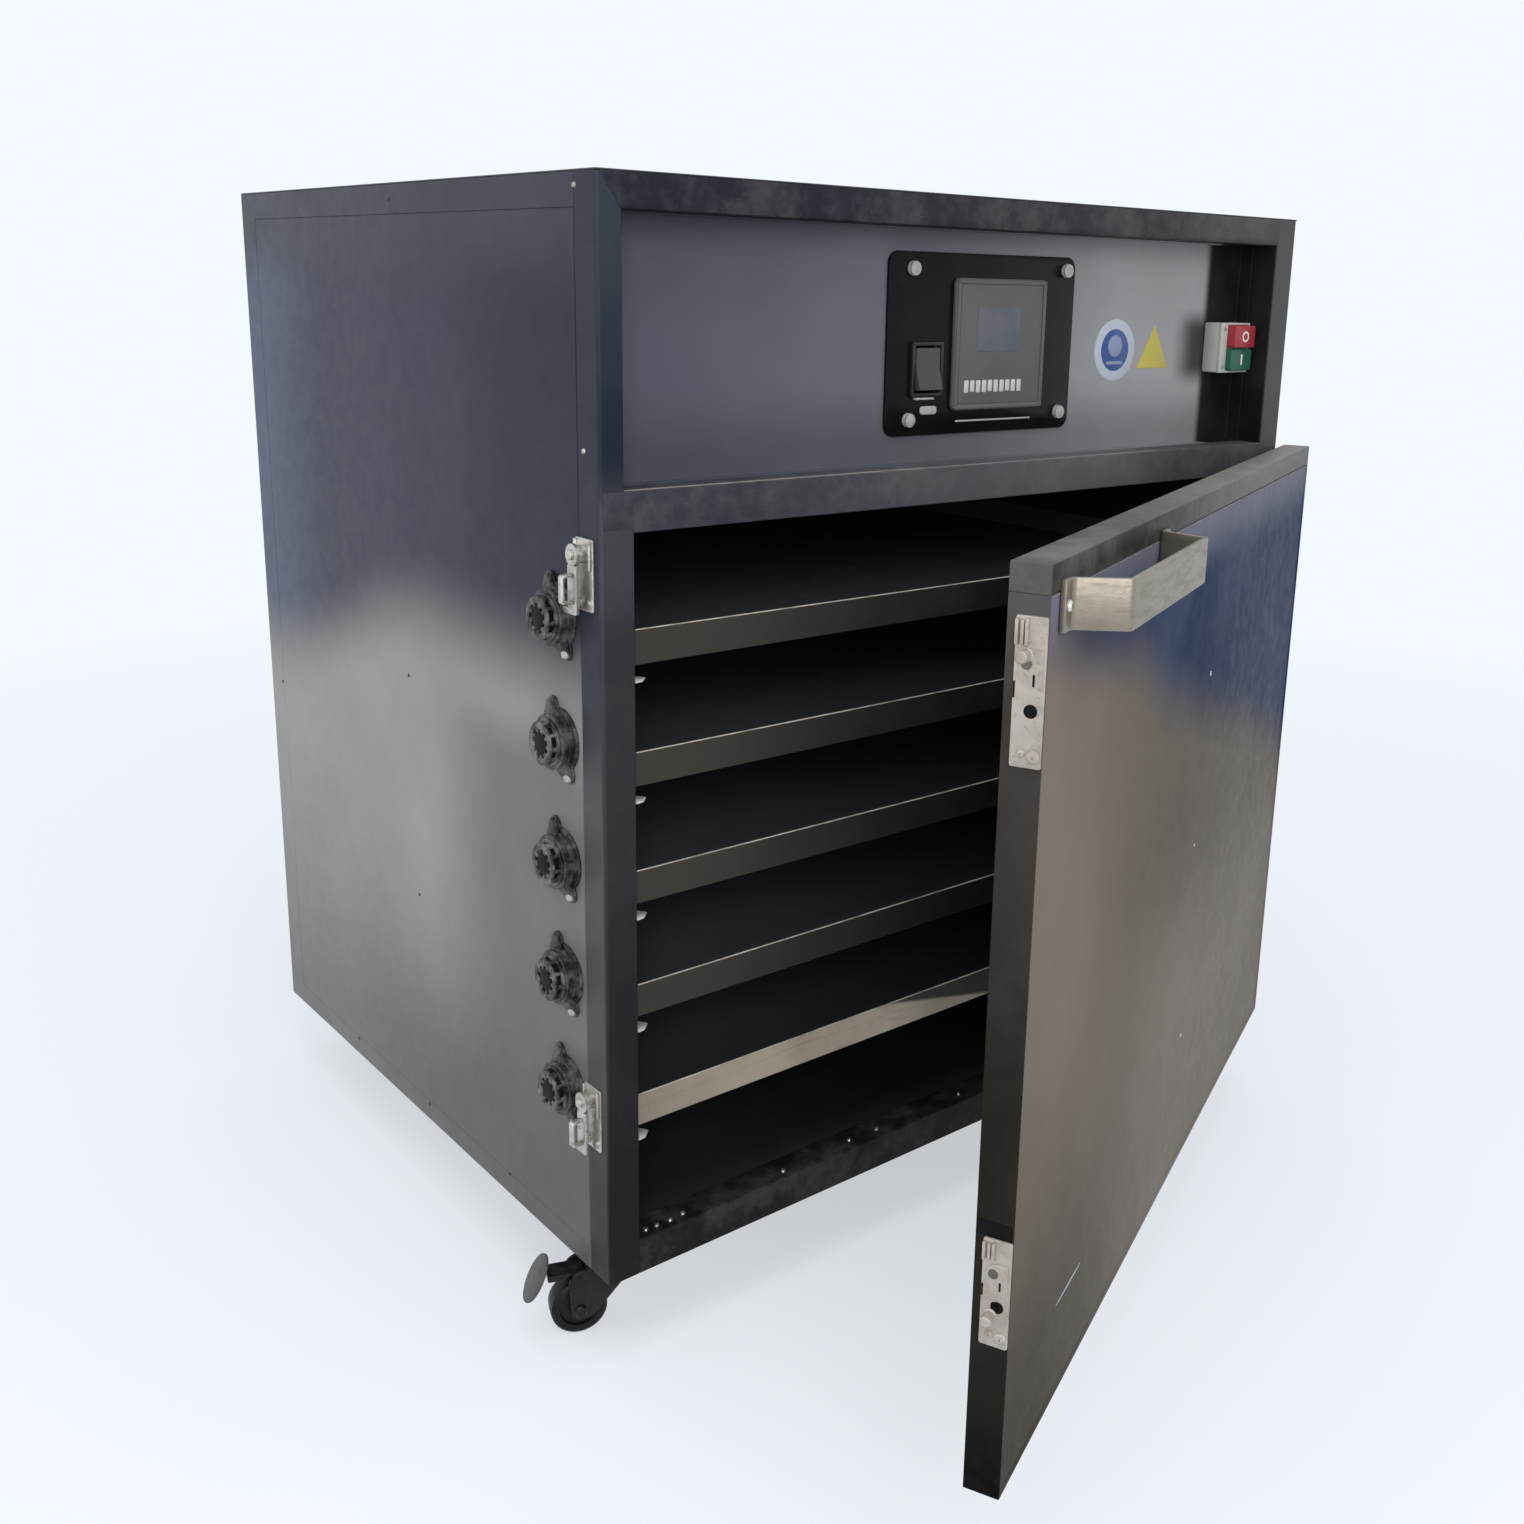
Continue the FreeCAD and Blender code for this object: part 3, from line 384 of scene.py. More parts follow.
def painted(name, base, dust=(0.25, 0.24, 0.23), film=0.12, flecks=0.5, rough=0.42, tint=None,
            marks=0.0, run=(0.05, 1.0, 1.0), peel=0.25, shine=0.35, zoom=1.0):
    """Paint or plastic of one base colour, or of the gradients that the tint function gives.

    dust colours the film, the flecks and the scratches, which marks brings in along run. zoom
    makes the mottling, dust and flecks finer, and peel is the strength of the relief.
    """
    g, shader = start_material(name)
    where = g.place()
    colour = tint(g, where) if tint else base
    fine = where if zoom == 1.0 else g.turned(where, scale=(zoom, zoom, zoom))
    out = g.use(PAINT, Vector=fine, Base=colour, Dust=dust, Film=film, Flecks=flecks, Rough=rough)
    colour, roughness, height = out["Color"], out["Rough"], out["Height"]
    if marks:
        along = g.turned(where, scale=run)
        mask = g.use(SCRATCH, Vector=along, Scale=42.0, Amount=marks)["Mask"]
        colour = g.blend(mask, colour, dust)
        height = g.sums("SUBTRACT", height, mask)
    g.feed(shader["Base Color"], colour)
    g.feed(shader["Roughness"], roughness)
    shader["Specular IOR Level"].default_value = shine
    bump(g, shader, height, peel)


def metallic(name, base, tarnish, amount=0.4, rough=0.35, grain=0.2, metal=1.0, stretch=(1, 1, 1)):
    """Bare or plated metal; tarnish colours its blotches, and grain is its relief's strength."""
    g, shader = start_material(name)
    where = g.turned(g.place(), scale=stretch)
    out = g.use(METAL, Vector=where, Base=base, Tarnish=tarnish, Amount=amount, Rough=rough)
    g.feed(shader["Base Color"], out["Color"])
    g.feed(shader["Roughness"], out["Rough"])
    shader["Metallic"].default_value = metal
    bump(g, shader, out["Height"], grain)


def on_body(g, where):
    """The place in millimetres from the body's front left bottom corner."""
    return g.axes(g.turned(where, offset=(-LEFT, -FRONT, -BASE), scale=(1000, 1000, 1000)))


def on_door(g, where):
    """The place in millimetres from the hinge axis, with the door closed."""
    return g.axes(g.turned(where, offset=DOOR.inverted().translation, turn=(0, 0, -DOOR_ANGLE),
                           scale=(1000, 1000, 1000)))


def side_tint(g, where):
    """Painted reflection of a room: bluish dark above and pale below a slanting soft edge, with
    painted shade by the motors and darker towards the foot.
    """
    spot = on_body(g, where)
    y, z = spot["Y"], spot["Z"]
    wave = g.sums("SUBTRACT", g.noise(where, 2.4, 2.0, 0.5), 0.5)
    lift = g.sums("SUBTRACT", g.sums("MULTIPLY_ADD", wave, 60.0, z), g.ramp(y, 660, 290, 438, 524))
    # Painted reflection of the pale floor on the lower part.
    low = g.blend(g.ramp(z, 0, 330), (0.2, 0.19, 0.18), (0.36, 0.347, 0.33))
    # Painted shade of the motors on the lower part.
    dull = g.sums("MULTIPLY", g.ramp(y, 330, 150), g.ramp(z, 490, 420, 0.0, 0.85))
    low = g.blend(dull, low, (0.165, 0.162, 0.157))
    foot = g.sums("MULTIPLY", g.ramp(y, 600, 240), g.ramp(z, 260, 40, 0.0, 0.65))
    low = g.blend(foot, low, (0.1, 0.097, 0.093))
    # Painted reflection on the upper part: bluish dark, paler to the rear and at the crown.
    high = g.blend(g.ramp(y, 140, 300), (0.02, 0.023, 0.043), (0.039, 0.042, 0.07))
    high = g.blend(g.ramp(y, 490, 690), high, (0.088, 0.106, 0.163))
    high = g.blend(g.ramp(z, 800, 870, 0.0, 0.8), high, (0.053, 0.055, 0.072))
    return g.blend(g.ramp(lift, -60, 62), low, high)


def post_tint(g, where):
    """Painted light: bluish at the top and darker to the foot, with a painted highlight band across
    the front and a paler right post; the faces to the side are paler low down.
    """
    spot = on_body(g, where)
    x, y, z = spot["X"], spot["Y"], spot["Z"]
    front = g.blend(g.ramp(z, 20, 470), (0.0065, 0.007, 0.009), (0.04, 0.042, 0.048))
    front = g.blend(g.ramp(z, 540, 690), front, (0.014, 0.02, 0.037))
    front = g.blend(g.ramp(z, 700, 880), front, (0.03, 0.04, 0.058))
    # A painted highlight band across the front faces.
    glint = g.ramp(g.sums("ABSOLUTE", g.sums("SUBTRACT", z, 622.0)), 72, 18, 0.0, 0.8)
    front = g.blend(glint, front, (0.07, 0.071, 0.082))
    front = g.blend(g.ramp(x, 600, 800), front, (0.08, 0.081, 0.082))
    side = g.blend(g.ramp(z, 60, 180), (0.035, 0.035, 0.036), (0.083, 0.081, 0.084))
    side = g.blend(g.ramp(z, 400, 540), side, (0.026, 0.029, 0.042))
    # The right post's face towards the controls lies in the shade.
    shade = g.sums("MULTIPLY", g.ramp(x, 600, 700), g.ramp(x, 843, 838))
    side = g.blend(shade, side, (0.007, 0.007, 0.008))
    return g.blend(g.ramp(y, 0.5, 3.0), front, side)


def rail_tint(g, where):
    """Painted light: the top and middle rails are paler to the right and darker along one edge, and
    the bottom one is dark.
    """
    spot = on_body(g, where)
    x, z = spot["X"], spot["Z"]
    top = g.blend(g.ramp(x, 100, 650), (0.018, 0.02, 0.029), (0.036, 0.038, 0.044))
    top = g.blend(g.ramp(x, 620, 740), top, (0.08, 0.08, 0.083))
    top = g.blend(g.ramp(z, 880, 872, 0.0, 0.6), top, (0.012, 0.013, 0.017))
    middle = g.blend(g.ramp(x, 40, 560), (0.045, 0.047, 0.06), (0.12, 0.119, 0.13))
    middle = g.blend(g.ramp(x, 590, 690), middle, (0.062, 0.061, 0.066))
    middle = g.blend(g.ramp(z, 671, 681, 0.0, 0.22), middle, (0.02, 0.022, 0.03))
    colour = g.blend(g.ramp(z, 700, 800), middle, top)
    return g.blend(g.ramp(z, 200, 60), colour, (0.009, 0.0095, 0.011))


def fascia_tint(g, where):
    """Painted light: bluish to the left, pale to the right and darker at the foot, with a painted
    shadow of the starter and, beyond it, painted shadow of the right post.
    """
    spot = on_body(g, where)
    x, z = spot["X"], spot["Z"]
    colour = g.blend(g.ramp(x, 60, 330), (0.103, 0.109, 0.143), (0.166, 0.174, 0.2))
    colour = g.blend(g.ramp(x, 330, 690), colour, (0.42, 0.425, 0.445))
    colour = g.blend(g.ramp(z, 750, 680, 0.0, 0.5), colour, (0.05, 0.052, 0.062))
    # Painted shadow that the starter casts to its left.
    near = g.ramp(g.sums("ABSOLUTE", g.sums("SUBTRACT", z, 768.0)), 44, 18)
    colour = g.blend(g.sums("MULTIPLY", near, g.ramp(x, 706, 748, 0.0, 0.92)), colour,
                     (0.02, 0.021, 0.023))
    # Painted shadow of the right post beyond the starter.
    return g.blend(g.ramp(x, 756, 768), colour, (0.006, 0.0065, 0.0075))


def door_tint(g, where):
    """Painted reflection of a room: dark blue above a slanting edge and warm brown below it."""
    spot = on_door(g, where)
    x, z = spot["X"], spot["Z"]
    wave = g.sums("SUBTRACT", g.noise(where, 3.6, 2.0, 0.5), 0.5)
    edge = g.sums("MULTIPLY_ADD", x, -0.34, 335.0)
    lift = g.sums("SUBTRACT", g.sums("MULTIPLY_ADD", wave, 90.0, z), edge)
    left = g.blend(g.ramp(z, 10, 340), (0.075, 0.065, 0.052), (0.235, 0.198, 0.168))
    right = g.blend(g.ramp(z, 170, 390), (0.262, 0.226, 0.192), (0.158, 0.135, 0.11))
    low = g.blend(g.ramp(x, -840, -420), left, right)
    patch = g.noise(g.turned(where, offset=(3, 1, 2)), 5.0, 2.0)
    high = g.blend(g.ramp(patch, 0.4, 0.62), (0.017, 0.033, 0.088), (0.038, 0.056, 0.122))
    high = g.blend(g.ramp(z, 592, 645, 0.0, 0.85), high, (0.2, 0.207, 0.258))
    return g.blend(g.ramp(lift, -40, 44), low, high)


def border_tint(g, where):
    """The door's border: like the sheet on its front, and on its free edge painted light that darkens
    to the foot.
    """
    spot = on_door(g, where)
    x, z = spot["X"], spot["Z"]
    edge = g.blend(g.ramp(z, 10, 100), (0.004, 0.004, 0.0035), (0.022, 0.021, 0.0175))
    edge = g.blend(g.ramp(z, 300, 480), edge, (0.045, 0.04, 0.036))
    edge = g.blend(g.ramp(z, 560, 650), edge, (0.09, 0.09, 0.088))
    return g.blend(g.ramp(x, DOOR_LEFT + 0.4, DOOR_LEFT + 1.4), edge, door_tint(g, where))


def top_bar_tint(g, where):
    """The door's top bar in painted light: dark to the left and tan to the right; its end like the
    free edge.
    """
    spot = on_door(g, where)
    x, z = spot["X"], spot["Z"]
    top = g.blend(g.ramp(x, -760, -330), (0.075, 0.075, 0.074), (0.17, 0.158, 0.14))
    front = g.blend(g.ramp(x, -700, -250), (0.03, 0.029, 0.028), (0.15, 0.148, 0.15))
    colour = g.blend(g.ramp(z, DOOR_HIGH - 1.2, DOOR_HIGH - 0.3), front, top)
    return g.blend(g.ramp(x, DOOR_LEFT + 0.4, DOOR_LEFT + 1.4), (0.09, 0.09, 0.088), colour)


def lip_tint(g, where):
    """Trays: a worn warm lip in the door's painted shade, which darkens it to the right, and a dark
    bluish floor behind it.
    """
    spot = on_body(g, where)
    # Painted shade of the door, darker to the right.
    lip = g.blend(g.ramp(spot["X"], 40, 400), (0.068, 0.062, 0.054), (0.024, 0.024, 0.024))
    lip = g.blend(g.ramp(spot["X"], 330, 520), lip, (0.006, 0.006, 0.0058))
    return g.blend(g.ramp(spot["Y"], 6.0, 14.0), lip, (0.115, 0.118, 0.138))


def bare_lip_tint(g, where):
    """The lowest tray: a bare tan lip, paler to the right, with a dark band that slants over its
    right part.
    """
    spot = on_body(g, where)
    x, z = spot["X"], spot["Z"]
    lip = g.blend(g.ramp(x, 30, 200), (0.36, 0.31, 0.25), (0.62, 0.54, 0.43))
    lip = g.blend(g.ramp(x, 200, 350), lip, (0.82, 0.72, 0.58))
    slant = g.sums("MULTIPLY_ADD", g.sums("SUBTRACT", z, TRAY_TOPS[0]), 5.0, x)
    lip = g.blend(g.ramp(slant, 300, 322, 0.0, 0.95), lip, (0.022, 0.018, 0.015))
    return g.blend(g.ramp(spot["Y"], 6.0, 14.0), lip, (0.075, 0.078, 0.09))


def make_sheet_paints():
    """Paint of the frame, sheets, door and trays."""
    painted("frame", None, film=0.06, flecks=0.4, rough=0.45, tint=post_tint, peel=0.3,
            shine=0.15)
    painted("rail", None, dust=(0.3, 0.295, 0.29), film=0.16, flecks=1.0, rough=0.5, marks=0.5,
            tint=rail_tint, peel=0.5, shine=0.12, zoom=3.0)
    painted("side_sheet", None, film=0.03, flecks=0.25, rough=0.36, tint=side_tint, peel=0.15,
            shine=0.15)
    painted("plain_sheet", (0.045, 0.048, 0.055), film=0.12, flecks=0.4, rough=0.4, peel=0.25)
    painted("fascia", None, film=0.06, flecks=0.2, rough=0.4, tint=fascia_tint, peel=0.2,
            shine=0.2)
    painted("door_border", None, dust=(0.3, 0.27, 0.24), film=0.06, flecks=0.1, rough=0.45,
            tint=border_tint, peel=0.05, shine=0.01)
    painted("door_top", None, dust=(0.3, 0.285, 0.265), film=0.3, flecks=1.0, rough=0.5, marks=0.5,
            run=(0.05, 0.05, 1.0), peel=0.4, shine=0.12, tint=top_bar_tint, zoom=2.0)
    painted("door_sheet", None, dust=(0.36, 0.33, 0.3), film=0.06, flecks=0.1, rough=0.4,
            tint=door_tint, peel=0.04, shine=0.01)
    painted("liner", (0.03, 0.033, 0.042), dust=(0.06, 0.057, 0.053), film=0.3, flecks=0.3,
            rough=0.4, peel=0.4)
    painted("tray", None, dust=(0.1, 0.09, 0.075), film=0.16, flecks=0.8, rough=0.42, marks=0.3,
            tint=lip_tint, peel=0.5, shine=0.08)
    painted("bare_tray", None, dust=(0.12, 0.1, 0.08), film=0.3, flecks=0.8, rough=0.5, marks=0.2,
            tint=bare_lip_tint, peel=0.4)


def make_plastics():
    """Plastics, rubber, and the wool inside the walls."""
    painted("black_gloss", (0.005, 0.0052, 0.006), dust=(0.06, 0.062, 0.066), film=0.12, flecks=0.5,
            rough=0.2, peel=0.05, shine=0.1)
    painted("black_plastic", (0.014, 0.015, 0.016), dust=(0.16, 0.16, 0.16), film=0.16, flecks=0.7,
            rough=0.34, peel=0.3)
    painted("rocker_grey", (0.08, 0.081, 0.084), film=0.06, flecks=0.4, rough=0.35, peel=0.1,
            shine=0.2)
    painted("motor_plastic", (0.009, 0.0095, 0.01), dust=(0.4, 0.4, 0.4), film=0.34, flecks=1.0,
            rough=0.28, peel=0.8, shine=0.25, zoom=9.0)
    painted("motor_rib", (0.011, 0.0115, 0.012), dust=(0.6, 0.6, 0.6), film=0.4, flecks=1.0,
            rough=0.3, peel=0.8, shine=0.25, zoom=9.0)
    painted("motor_slot", (0.003, 0.003, 0.0032), film=0.02, flecks=0.3, rough=0.5, peel=0.2,
            shine=0.1)
    painted("bezel", (0.155, 0.15, 0.152), film=0.06, flecks=0.2, rough=0.4, peel=0.05, shine=0.15)
    painted("ivory_plastic", (0.56, 0.56, 0.53), dust=(0.3, 0.28, 0.25), film=0.12, flecks=0.3,
            rough=0.4, peel=0.2)
    painted("grey_plastic", (0.17, 0.175, 0.18), film=0.1, flecks=0.3, rough=0.42, peel=0.2)
    painted("red_plastic", (0.36, 0.018, 0.03), dust=(0.5, 0.3, 0.3), film=0.1, flecks=0.3,
            rough=0.3, peel=0.15)
    painted("green_plastic", (0.008, 0.11, 0.06), dust=(0.3, 0.4, 0.35), film=0.1, flecks=0.3,
            rough=0.3, peel=0.15)
    painted("rubber", (0.006, 0.006, 0.0065), dust=(0.06, 0.058, 0.055), film=0.2, flecks=0.6,
            rough=0.4, peel=0.5, shine=0.2, zoom=4.0)
    painted("gasket", (0.012, 0.012, 0.012), dust=(0.08, 0.08, 0.08), film=0.2, flecks=0.3,
            rough=0.65, peel=0.4)
    painted("wool", (0.5, 0.42, 0.2), film=0.2, flecks=0.5, rough=0.95, peel=1.0)


def make_prints():
    """Prints, stickers, dust, and pale lines painted as highlights on edges, which lie on other
    finishes.
    """
    painted("white_print", (0.75, 0.75, 0.74), film=0.03, flecks=0.1, rough=0.45, peel=0.1)
    painted("label_rim", (0.6, 0.65, 0.76), film=0.05, flecks=0.1, rough=0.35, peel=0.1)
    painted("label_haze", (0.3, 0.36, 0.56), film=0.05, flecks=0.1, rough=0.35, peel=0.1)
    painted("label_blue", (0.045, 0.1, 0.32), dust=(0.5, 0.55, 0.65), film=0.2, flecks=0.1,
            rough=0.35, peel=0.1)
    painted("label_yellow", (0.62, 0.53, 0.1), dust=(0.6, 0.58, 0.4), film=0.2, flecks=0.1,
            rough=0.35, peel=0.1)
    painted("dust_and_highlight_line", (0.3, 0.272, 0.255), dust=(0.12, 0.11, 0.1), film=0.6, flecks=1.0,
            rough=0.7, peel=0.4, zoom=4.0)
    painted("lip_edge_highlight", (0.62, 0.57, 0.5), dust=(0.14, 0.125, 0.105), film=0.75, flecks=1.0,
            rough=0.5, peel=0.3, zoom=4.0)


def make_metals():
    """Plated, bare and blackened metal."""
    metallic("zinc", (0.56, 0.54, 0.5), (0.24, 0.215, 0.185), amount=0.75, rough=0.42, grain=0.35)
    metallic("zinc_bright", (0.8, 0.79, 0.77), (0.45, 0.42, 0.38), amount=0.4, rough=0.3)
    metallic("dull_zinc", (0.16, 0.15, 0.14), (0.08, 0.075, 0.07), amount=0.5, rough=0.5)
    metallic("strike_metal", (0.5, 0.455, 0.415), (0.3, 0.26, 0.225), amount=0.6, rough=0.5,
             grain=0.4, metal=0.45)
    painted("nut_metal", (0.5, 0.51, 0.52), dust=(0.2, 0.2, 0.2), film=0.35, flecks=1.0,
            rough=0.35, peel=0.6)
    painted("bright_tab", (0.85, 0.85, 0.86), film=0.1, flecks=0.3, rough=0.5, peel=0.2)
    metallic("handle_metal", (0.3, 0.268, 0.222), (0.19, 0.165, 0.135), amount=0.4, rough=0.42,
             grain=0.25, metal=0.8, stretch=(1, 1, 4))
    painted("fork", (0.004, 0.0043, 0.005), dust=(0.1, 0.1, 0.1), film=0.12, flecks=0.8,
            rough=0.22, peel=0.3, shine=0.25, zoom=4.0)
    painted("pedal_metal", (0.085, 0.087, 0.085), dust=(0.25, 0.24, 0.22), film=0.25, flecks=0.8,
            rough=0.4, peel=0.2, shine=0.2, zoom=4.0)
    metallic("tube_metal", (0.22, 0.19, 0.17), (0.1, 0.07, 0.05), amount=0.6, rough=0.45)
    metallic("rail_metal", (0.33, 0.33, 0.33), (0.1, 0.095, 0.09), amount=0.5, rough=0.42)


def make_display_glass():
    """Grey glass with a painted soft bluish glow that is paler to its top."""
    g, shader = start_material("display_glass")
    where = g.place()
    z = g.axes(where)["Z"]
    painted_glow = g.ramp(z, (BASE + GLASS[1] - 0.2) / 1000, (BASE + GLASS[3] + 0.2) / 1000)
    cloud = g.noise(where, 30.0, 2.0)
    colour = g.blend(painted_glow, (0.155, 0.17, 0.215), (0.17, 0.172, 0.185))
    colour = g.blend(g.ramp(cloud, 0.4, 0.7, 0.0, 0.7), colour, (0.12, 0.138, 0.18))
    g.feed(shader["Base Color"], colour)
    shader["Roughness"].default_value = 0.3
    shader["Specular IOR Level"].default_value = 0.15


def make_materials():
    make_sheet_paints()
    make_plastics()
    make_prints()
    make_metals()
    make_display_glass()


# -------------------------------- mesh helpers

def sharp_edges(bm, angle=40.0):
    """Edges between faces that meet at more than an angle."""
    limit = math.radians(angle)
    return [edge for edge in bm.edges
            if len(edge.link_faces) == 2 and edge.calc_face_angle(0) > limit]


def round_edges(bm, edges, width, segments=2):
    if width > 0 and edges:
        bmesh.ops.bevel(bm, geom=edges, offset=width, offset_type="OFFSET",
                        segments=segments, profile=0.5, affect="EDGES", material=-1,
                        clamp_overlap=True)


def edges_along(edges, axis):
    """The straight edges that run along one axis, 0, 1 or 2."""
    found = []
    for edge in edges:
        step = edge.verts[1].co - edge.verts[0].co
        if step.length > 0 and abs(step[axis]) > 0.999 * step.length:
            found.append(edge)
    return found


def extrude_all(bm, step):
    """Give a flat shape its depth, with its faces turned outwards."""
    made = bmesh.ops.extrude_face_region(bm, geom=bm.faces[:])
    moved = [v for v in made["geom"] if isinstance(v, bmesh.types.BMVert)]
    bmesh.ops.translate(bm, verts=moved, vec=step)
    bmesh.ops.recalc_face_normals(bm, faces=bm.faces)


def add_block(bm, low, high, edge=0.4, corner=0.0, axis=2, segments=2):
    """A box; corner rounds the four edges along an axis, and edge then rounds the rest."""
    low, high = Vector(low), Vector(high)
    part = bmesh.new()
    bmesh.ops.create_cube(part, size=1.0, matrix=Matrix.LocRotScale(
        (low + high) / 2, None, high - low))
    if corner:
        round_edges(part, edges_along(part.edges, axis), corner, 6)
    round_edges(part, sharp_edges(part), edge, segments)
    merge_into(bm, part)


def add_border(bm, box, width, inset, front, back, edge, corner):
    """Four bars round a box, given as left, foot, right and top, between two depths.

    The upright bars start and end an inset inside the others' outer edges.
    """
    x0, z0, x1, z1 = box
    for low, high in (((x0, z0), (x1, z0 + width)), ((x0, z1 - width), (x1, z1)),
                      ((x0, z0 + inset), (x0 + width, z1 - inset)),
                      ((x1 - width, z0 + inset), (x1, z1 - inset))):
        add_block(bm, (low[0], front, low[1]), (high[0], back, high[1]), edge, corner=corner, axis=1)


def from_upright(axis):
    """The turn that lays a shape drawn about Z along an axis."""
    return {"X": Matrix.Rotation(math.pi / 2, 4, "Y"),
            "Y": Matrix.Rotation(-math.pi / 2, 4, "X"), "Z": Matrix.Identity(4)}[axis]


def add_rod(bm, axis, start, radius, length, edge=0.3, steps=32):
    """A round bar from a centre point along an axis."""
    part = bmesh.new()
    bmesh.ops.create_cone(
        part, cap_ends=True, cap_tris=False, segments=steps, radius1=radius, radius2=radius,
        depth=length, matrix=Matrix.Translation(start) @ from_upright(axis)
        @ Matrix.Translation((0, 0, length / 2)))
    round_edges(part, sharp_edges(part, angle=50), edge)
    merge_into(bm, part)


def add_lathe(bm, axis, start, profile, steps=32):
    """A profile of radius and distance spun about an axis through a point."""
    part = bmesh.new()
    chain = [part.verts.new((radius, 0, along)) for radius, along in profile]
    edges = [part.edges.new(pair) for pair in zip(chain, chain[1:])]
    bmesh.ops.spin(part, geom=chain + edges, cent=(0, 0, 0), axis=(0, 0, 1),
                   angle=2 * math.pi, steps=steps, use_merge=True, use_duplicate=False)
    bmesh.ops.remove_doubles(part, verts=part.verts, dist=0.001)
    bmesh.ops.recalc_face_normals(part, faces=part.faces)
    merge_into(bm, part, Matrix.Translation(start) @ from_upright(axis))


def add_outline(bm, points, axis, start, depth, edge=0.4, corner=0.0, picked=None):
    """An outline drawn in the plane across an axis and extruded along it.

    corner rounds the outline's own corners, all of them or the picked ones.
    """
    part = bmesh.new()
    lay = {"X": lambda u, v: (start, u, v), "Y": lambda u, v: (u, start, v),
           "Z": lambda u, v: (u, v, start)}[axis]
    part.faces.new([part.verts.new(lay(u, v)) for u, v in points])
    extrude_all(part, {"X": (depth, 0, 0), "Y": (0, depth, 0), "Z": (0, 0, depth)}[axis])
    if corner:
        sides = edges_along(part.edges, "XYZ".index(axis))
        if picked is not None:
            spots = [Vector(lay(*points[index])) for index in picked]
            sides = [side for side in sides
                     if any((end.co - spot).length < NEAR for end in side.verts for spot in spots)]
        round_edges(part, sides, corner, 6)
    round_edges(part, sharp_edges(part), edge)
    merge_into(bm, part)


def merge_into(bm, part, matrix=None):
    """Move a mesh into another, set in place by a matrix."""
    if matrix is not None:
        bmesh.ops.transform(part, matrix=matrix, verts=part.verts)
    mesh = bpy.data.meshes.new("part")
    part.to_mesh(mesh)
    part.free()
    bm.from_mesh(mesh)
    bpy.data.meshes.remove(mesh)


def finish_piece(name, bm, place, material, body, replaced=()):
    """Put the mesh in the frame, shade it and let it ride on its body."""
    bmesh.ops.transform(bm, matrix=place, verts=bm.verts)
    mesh = bpy.data.meshes.new(name)
    bm.to_mesh(mesh)
    bm.free()
    mesh.polygons.foreach_set("use_smooth", [True] * len(mesh.polygons))
    mesh.set_sharp_from_angle(angle=math.radians(35))
    piece = bpy.data.objects.new(name, mesh)
    bpy.context.scene.collection.objects.link(piece)
    mesh.materials.append(made_materials[material])
    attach(piece, body)
    if replaced:
        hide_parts(*replaced)
    return piece


def cabinet_piece(name, bm, material, replaced=()):
    """A piece that is drawn on the cabinet and rides on it."""
    finish_piece(name, bm, BODY, material, "cabinet", replaced)


def door_piece(name, bm, material, replaced=()):
    """A piece that is drawn on the closed door and rides on it."""
    finish_piece(name, bm, DOOR, material, "door", replaced)


def soften(name, node, material, body, edge=0.8, pick=None, big=0.0):
    """A copy of a node with its edges rounded, which then stands for the node.

    pick chooses edges, by their middle in millimetres on the body, that get the big radius.
    """
    bm = bmesh.new()
    bm.from_mesh(nodes[node].data)
    bmesh.ops.remove_doubles(bm, verts=bm.verts, dist=0.00001)
    bmesh.ops.dissolve_limit(bm, angle_limit=math.radians(1), verts=bm.verts, edges=bm.edges)
    bmesh.ops.transform(bm, matrix=BODY.inverted(), verts=bm.verts)
    if pick:
        chosen = [e for e in sharp_edges(bm) if pick((e.verts[0].co + e.verts[1].co) / 2, e)]
        round_edges(bm, chosen, big, 5)
    round_edges(bm, sharp_edges(bm), edge)
    piece = finish_piece(name, bm, BODY, material, body, (node,))
    # Broad faces stay flat where they meet the rounding.
    flat = piece.modifiers.new("flat_faces", "WEIGHTED_NORMAL")
    flat.keep_sharp = True


def paint_node(node, material):
    """Give a node that is shown as it is a material."""
    data = nodes[node].data
    data.materials.clear()
    data.materials.append(made_materials[material])


# -------------------------------- the cabinet's frame and sheets

def front_corner(middle, edge):
    """Whether an edge is a front post's outer upright one."""
    upright = abs(edge.verts[0].co.z - edge.verts[1].co.z) > 100
    return upright and middle.y < 1 and (middle.x < 1 or middle.x > WIDTH - 1)


def dress_frame():
    soften("posts", "front_posts", "frame", "cabinet", pick=front_corner, big=3.5)
    soften("rails", "cross_rails", "rail", "cabinet", edge=0.9)
    soften("left_frame", "side_frame_left", "side_sheet", "cabinet", edge=1.0)
    soften("right_frame", "side_frame_right", "side_sheet", "cabinet", edge=1.0)
    soften("side_sheets", "side_panels", "side_sheet", "cabinet", edge=0.5)
    soften("back_sheet", "back_panel", "plain_sheet", "cabinet", edge=0.0)
    soften("top_sheet", "top_panel", "plain_sheet", "cabinet", edge=0.5)
    soften("fascia_pan", "control_fascia", "fascia", "cabinet", edge=0.4)
    paint_node("base_panel", "plain_sheet")
    paint_node("liner_side_walls", "liner")
    paint_node("liner_shell", "liner")
    paint_node("insulation_slabs", "wool")


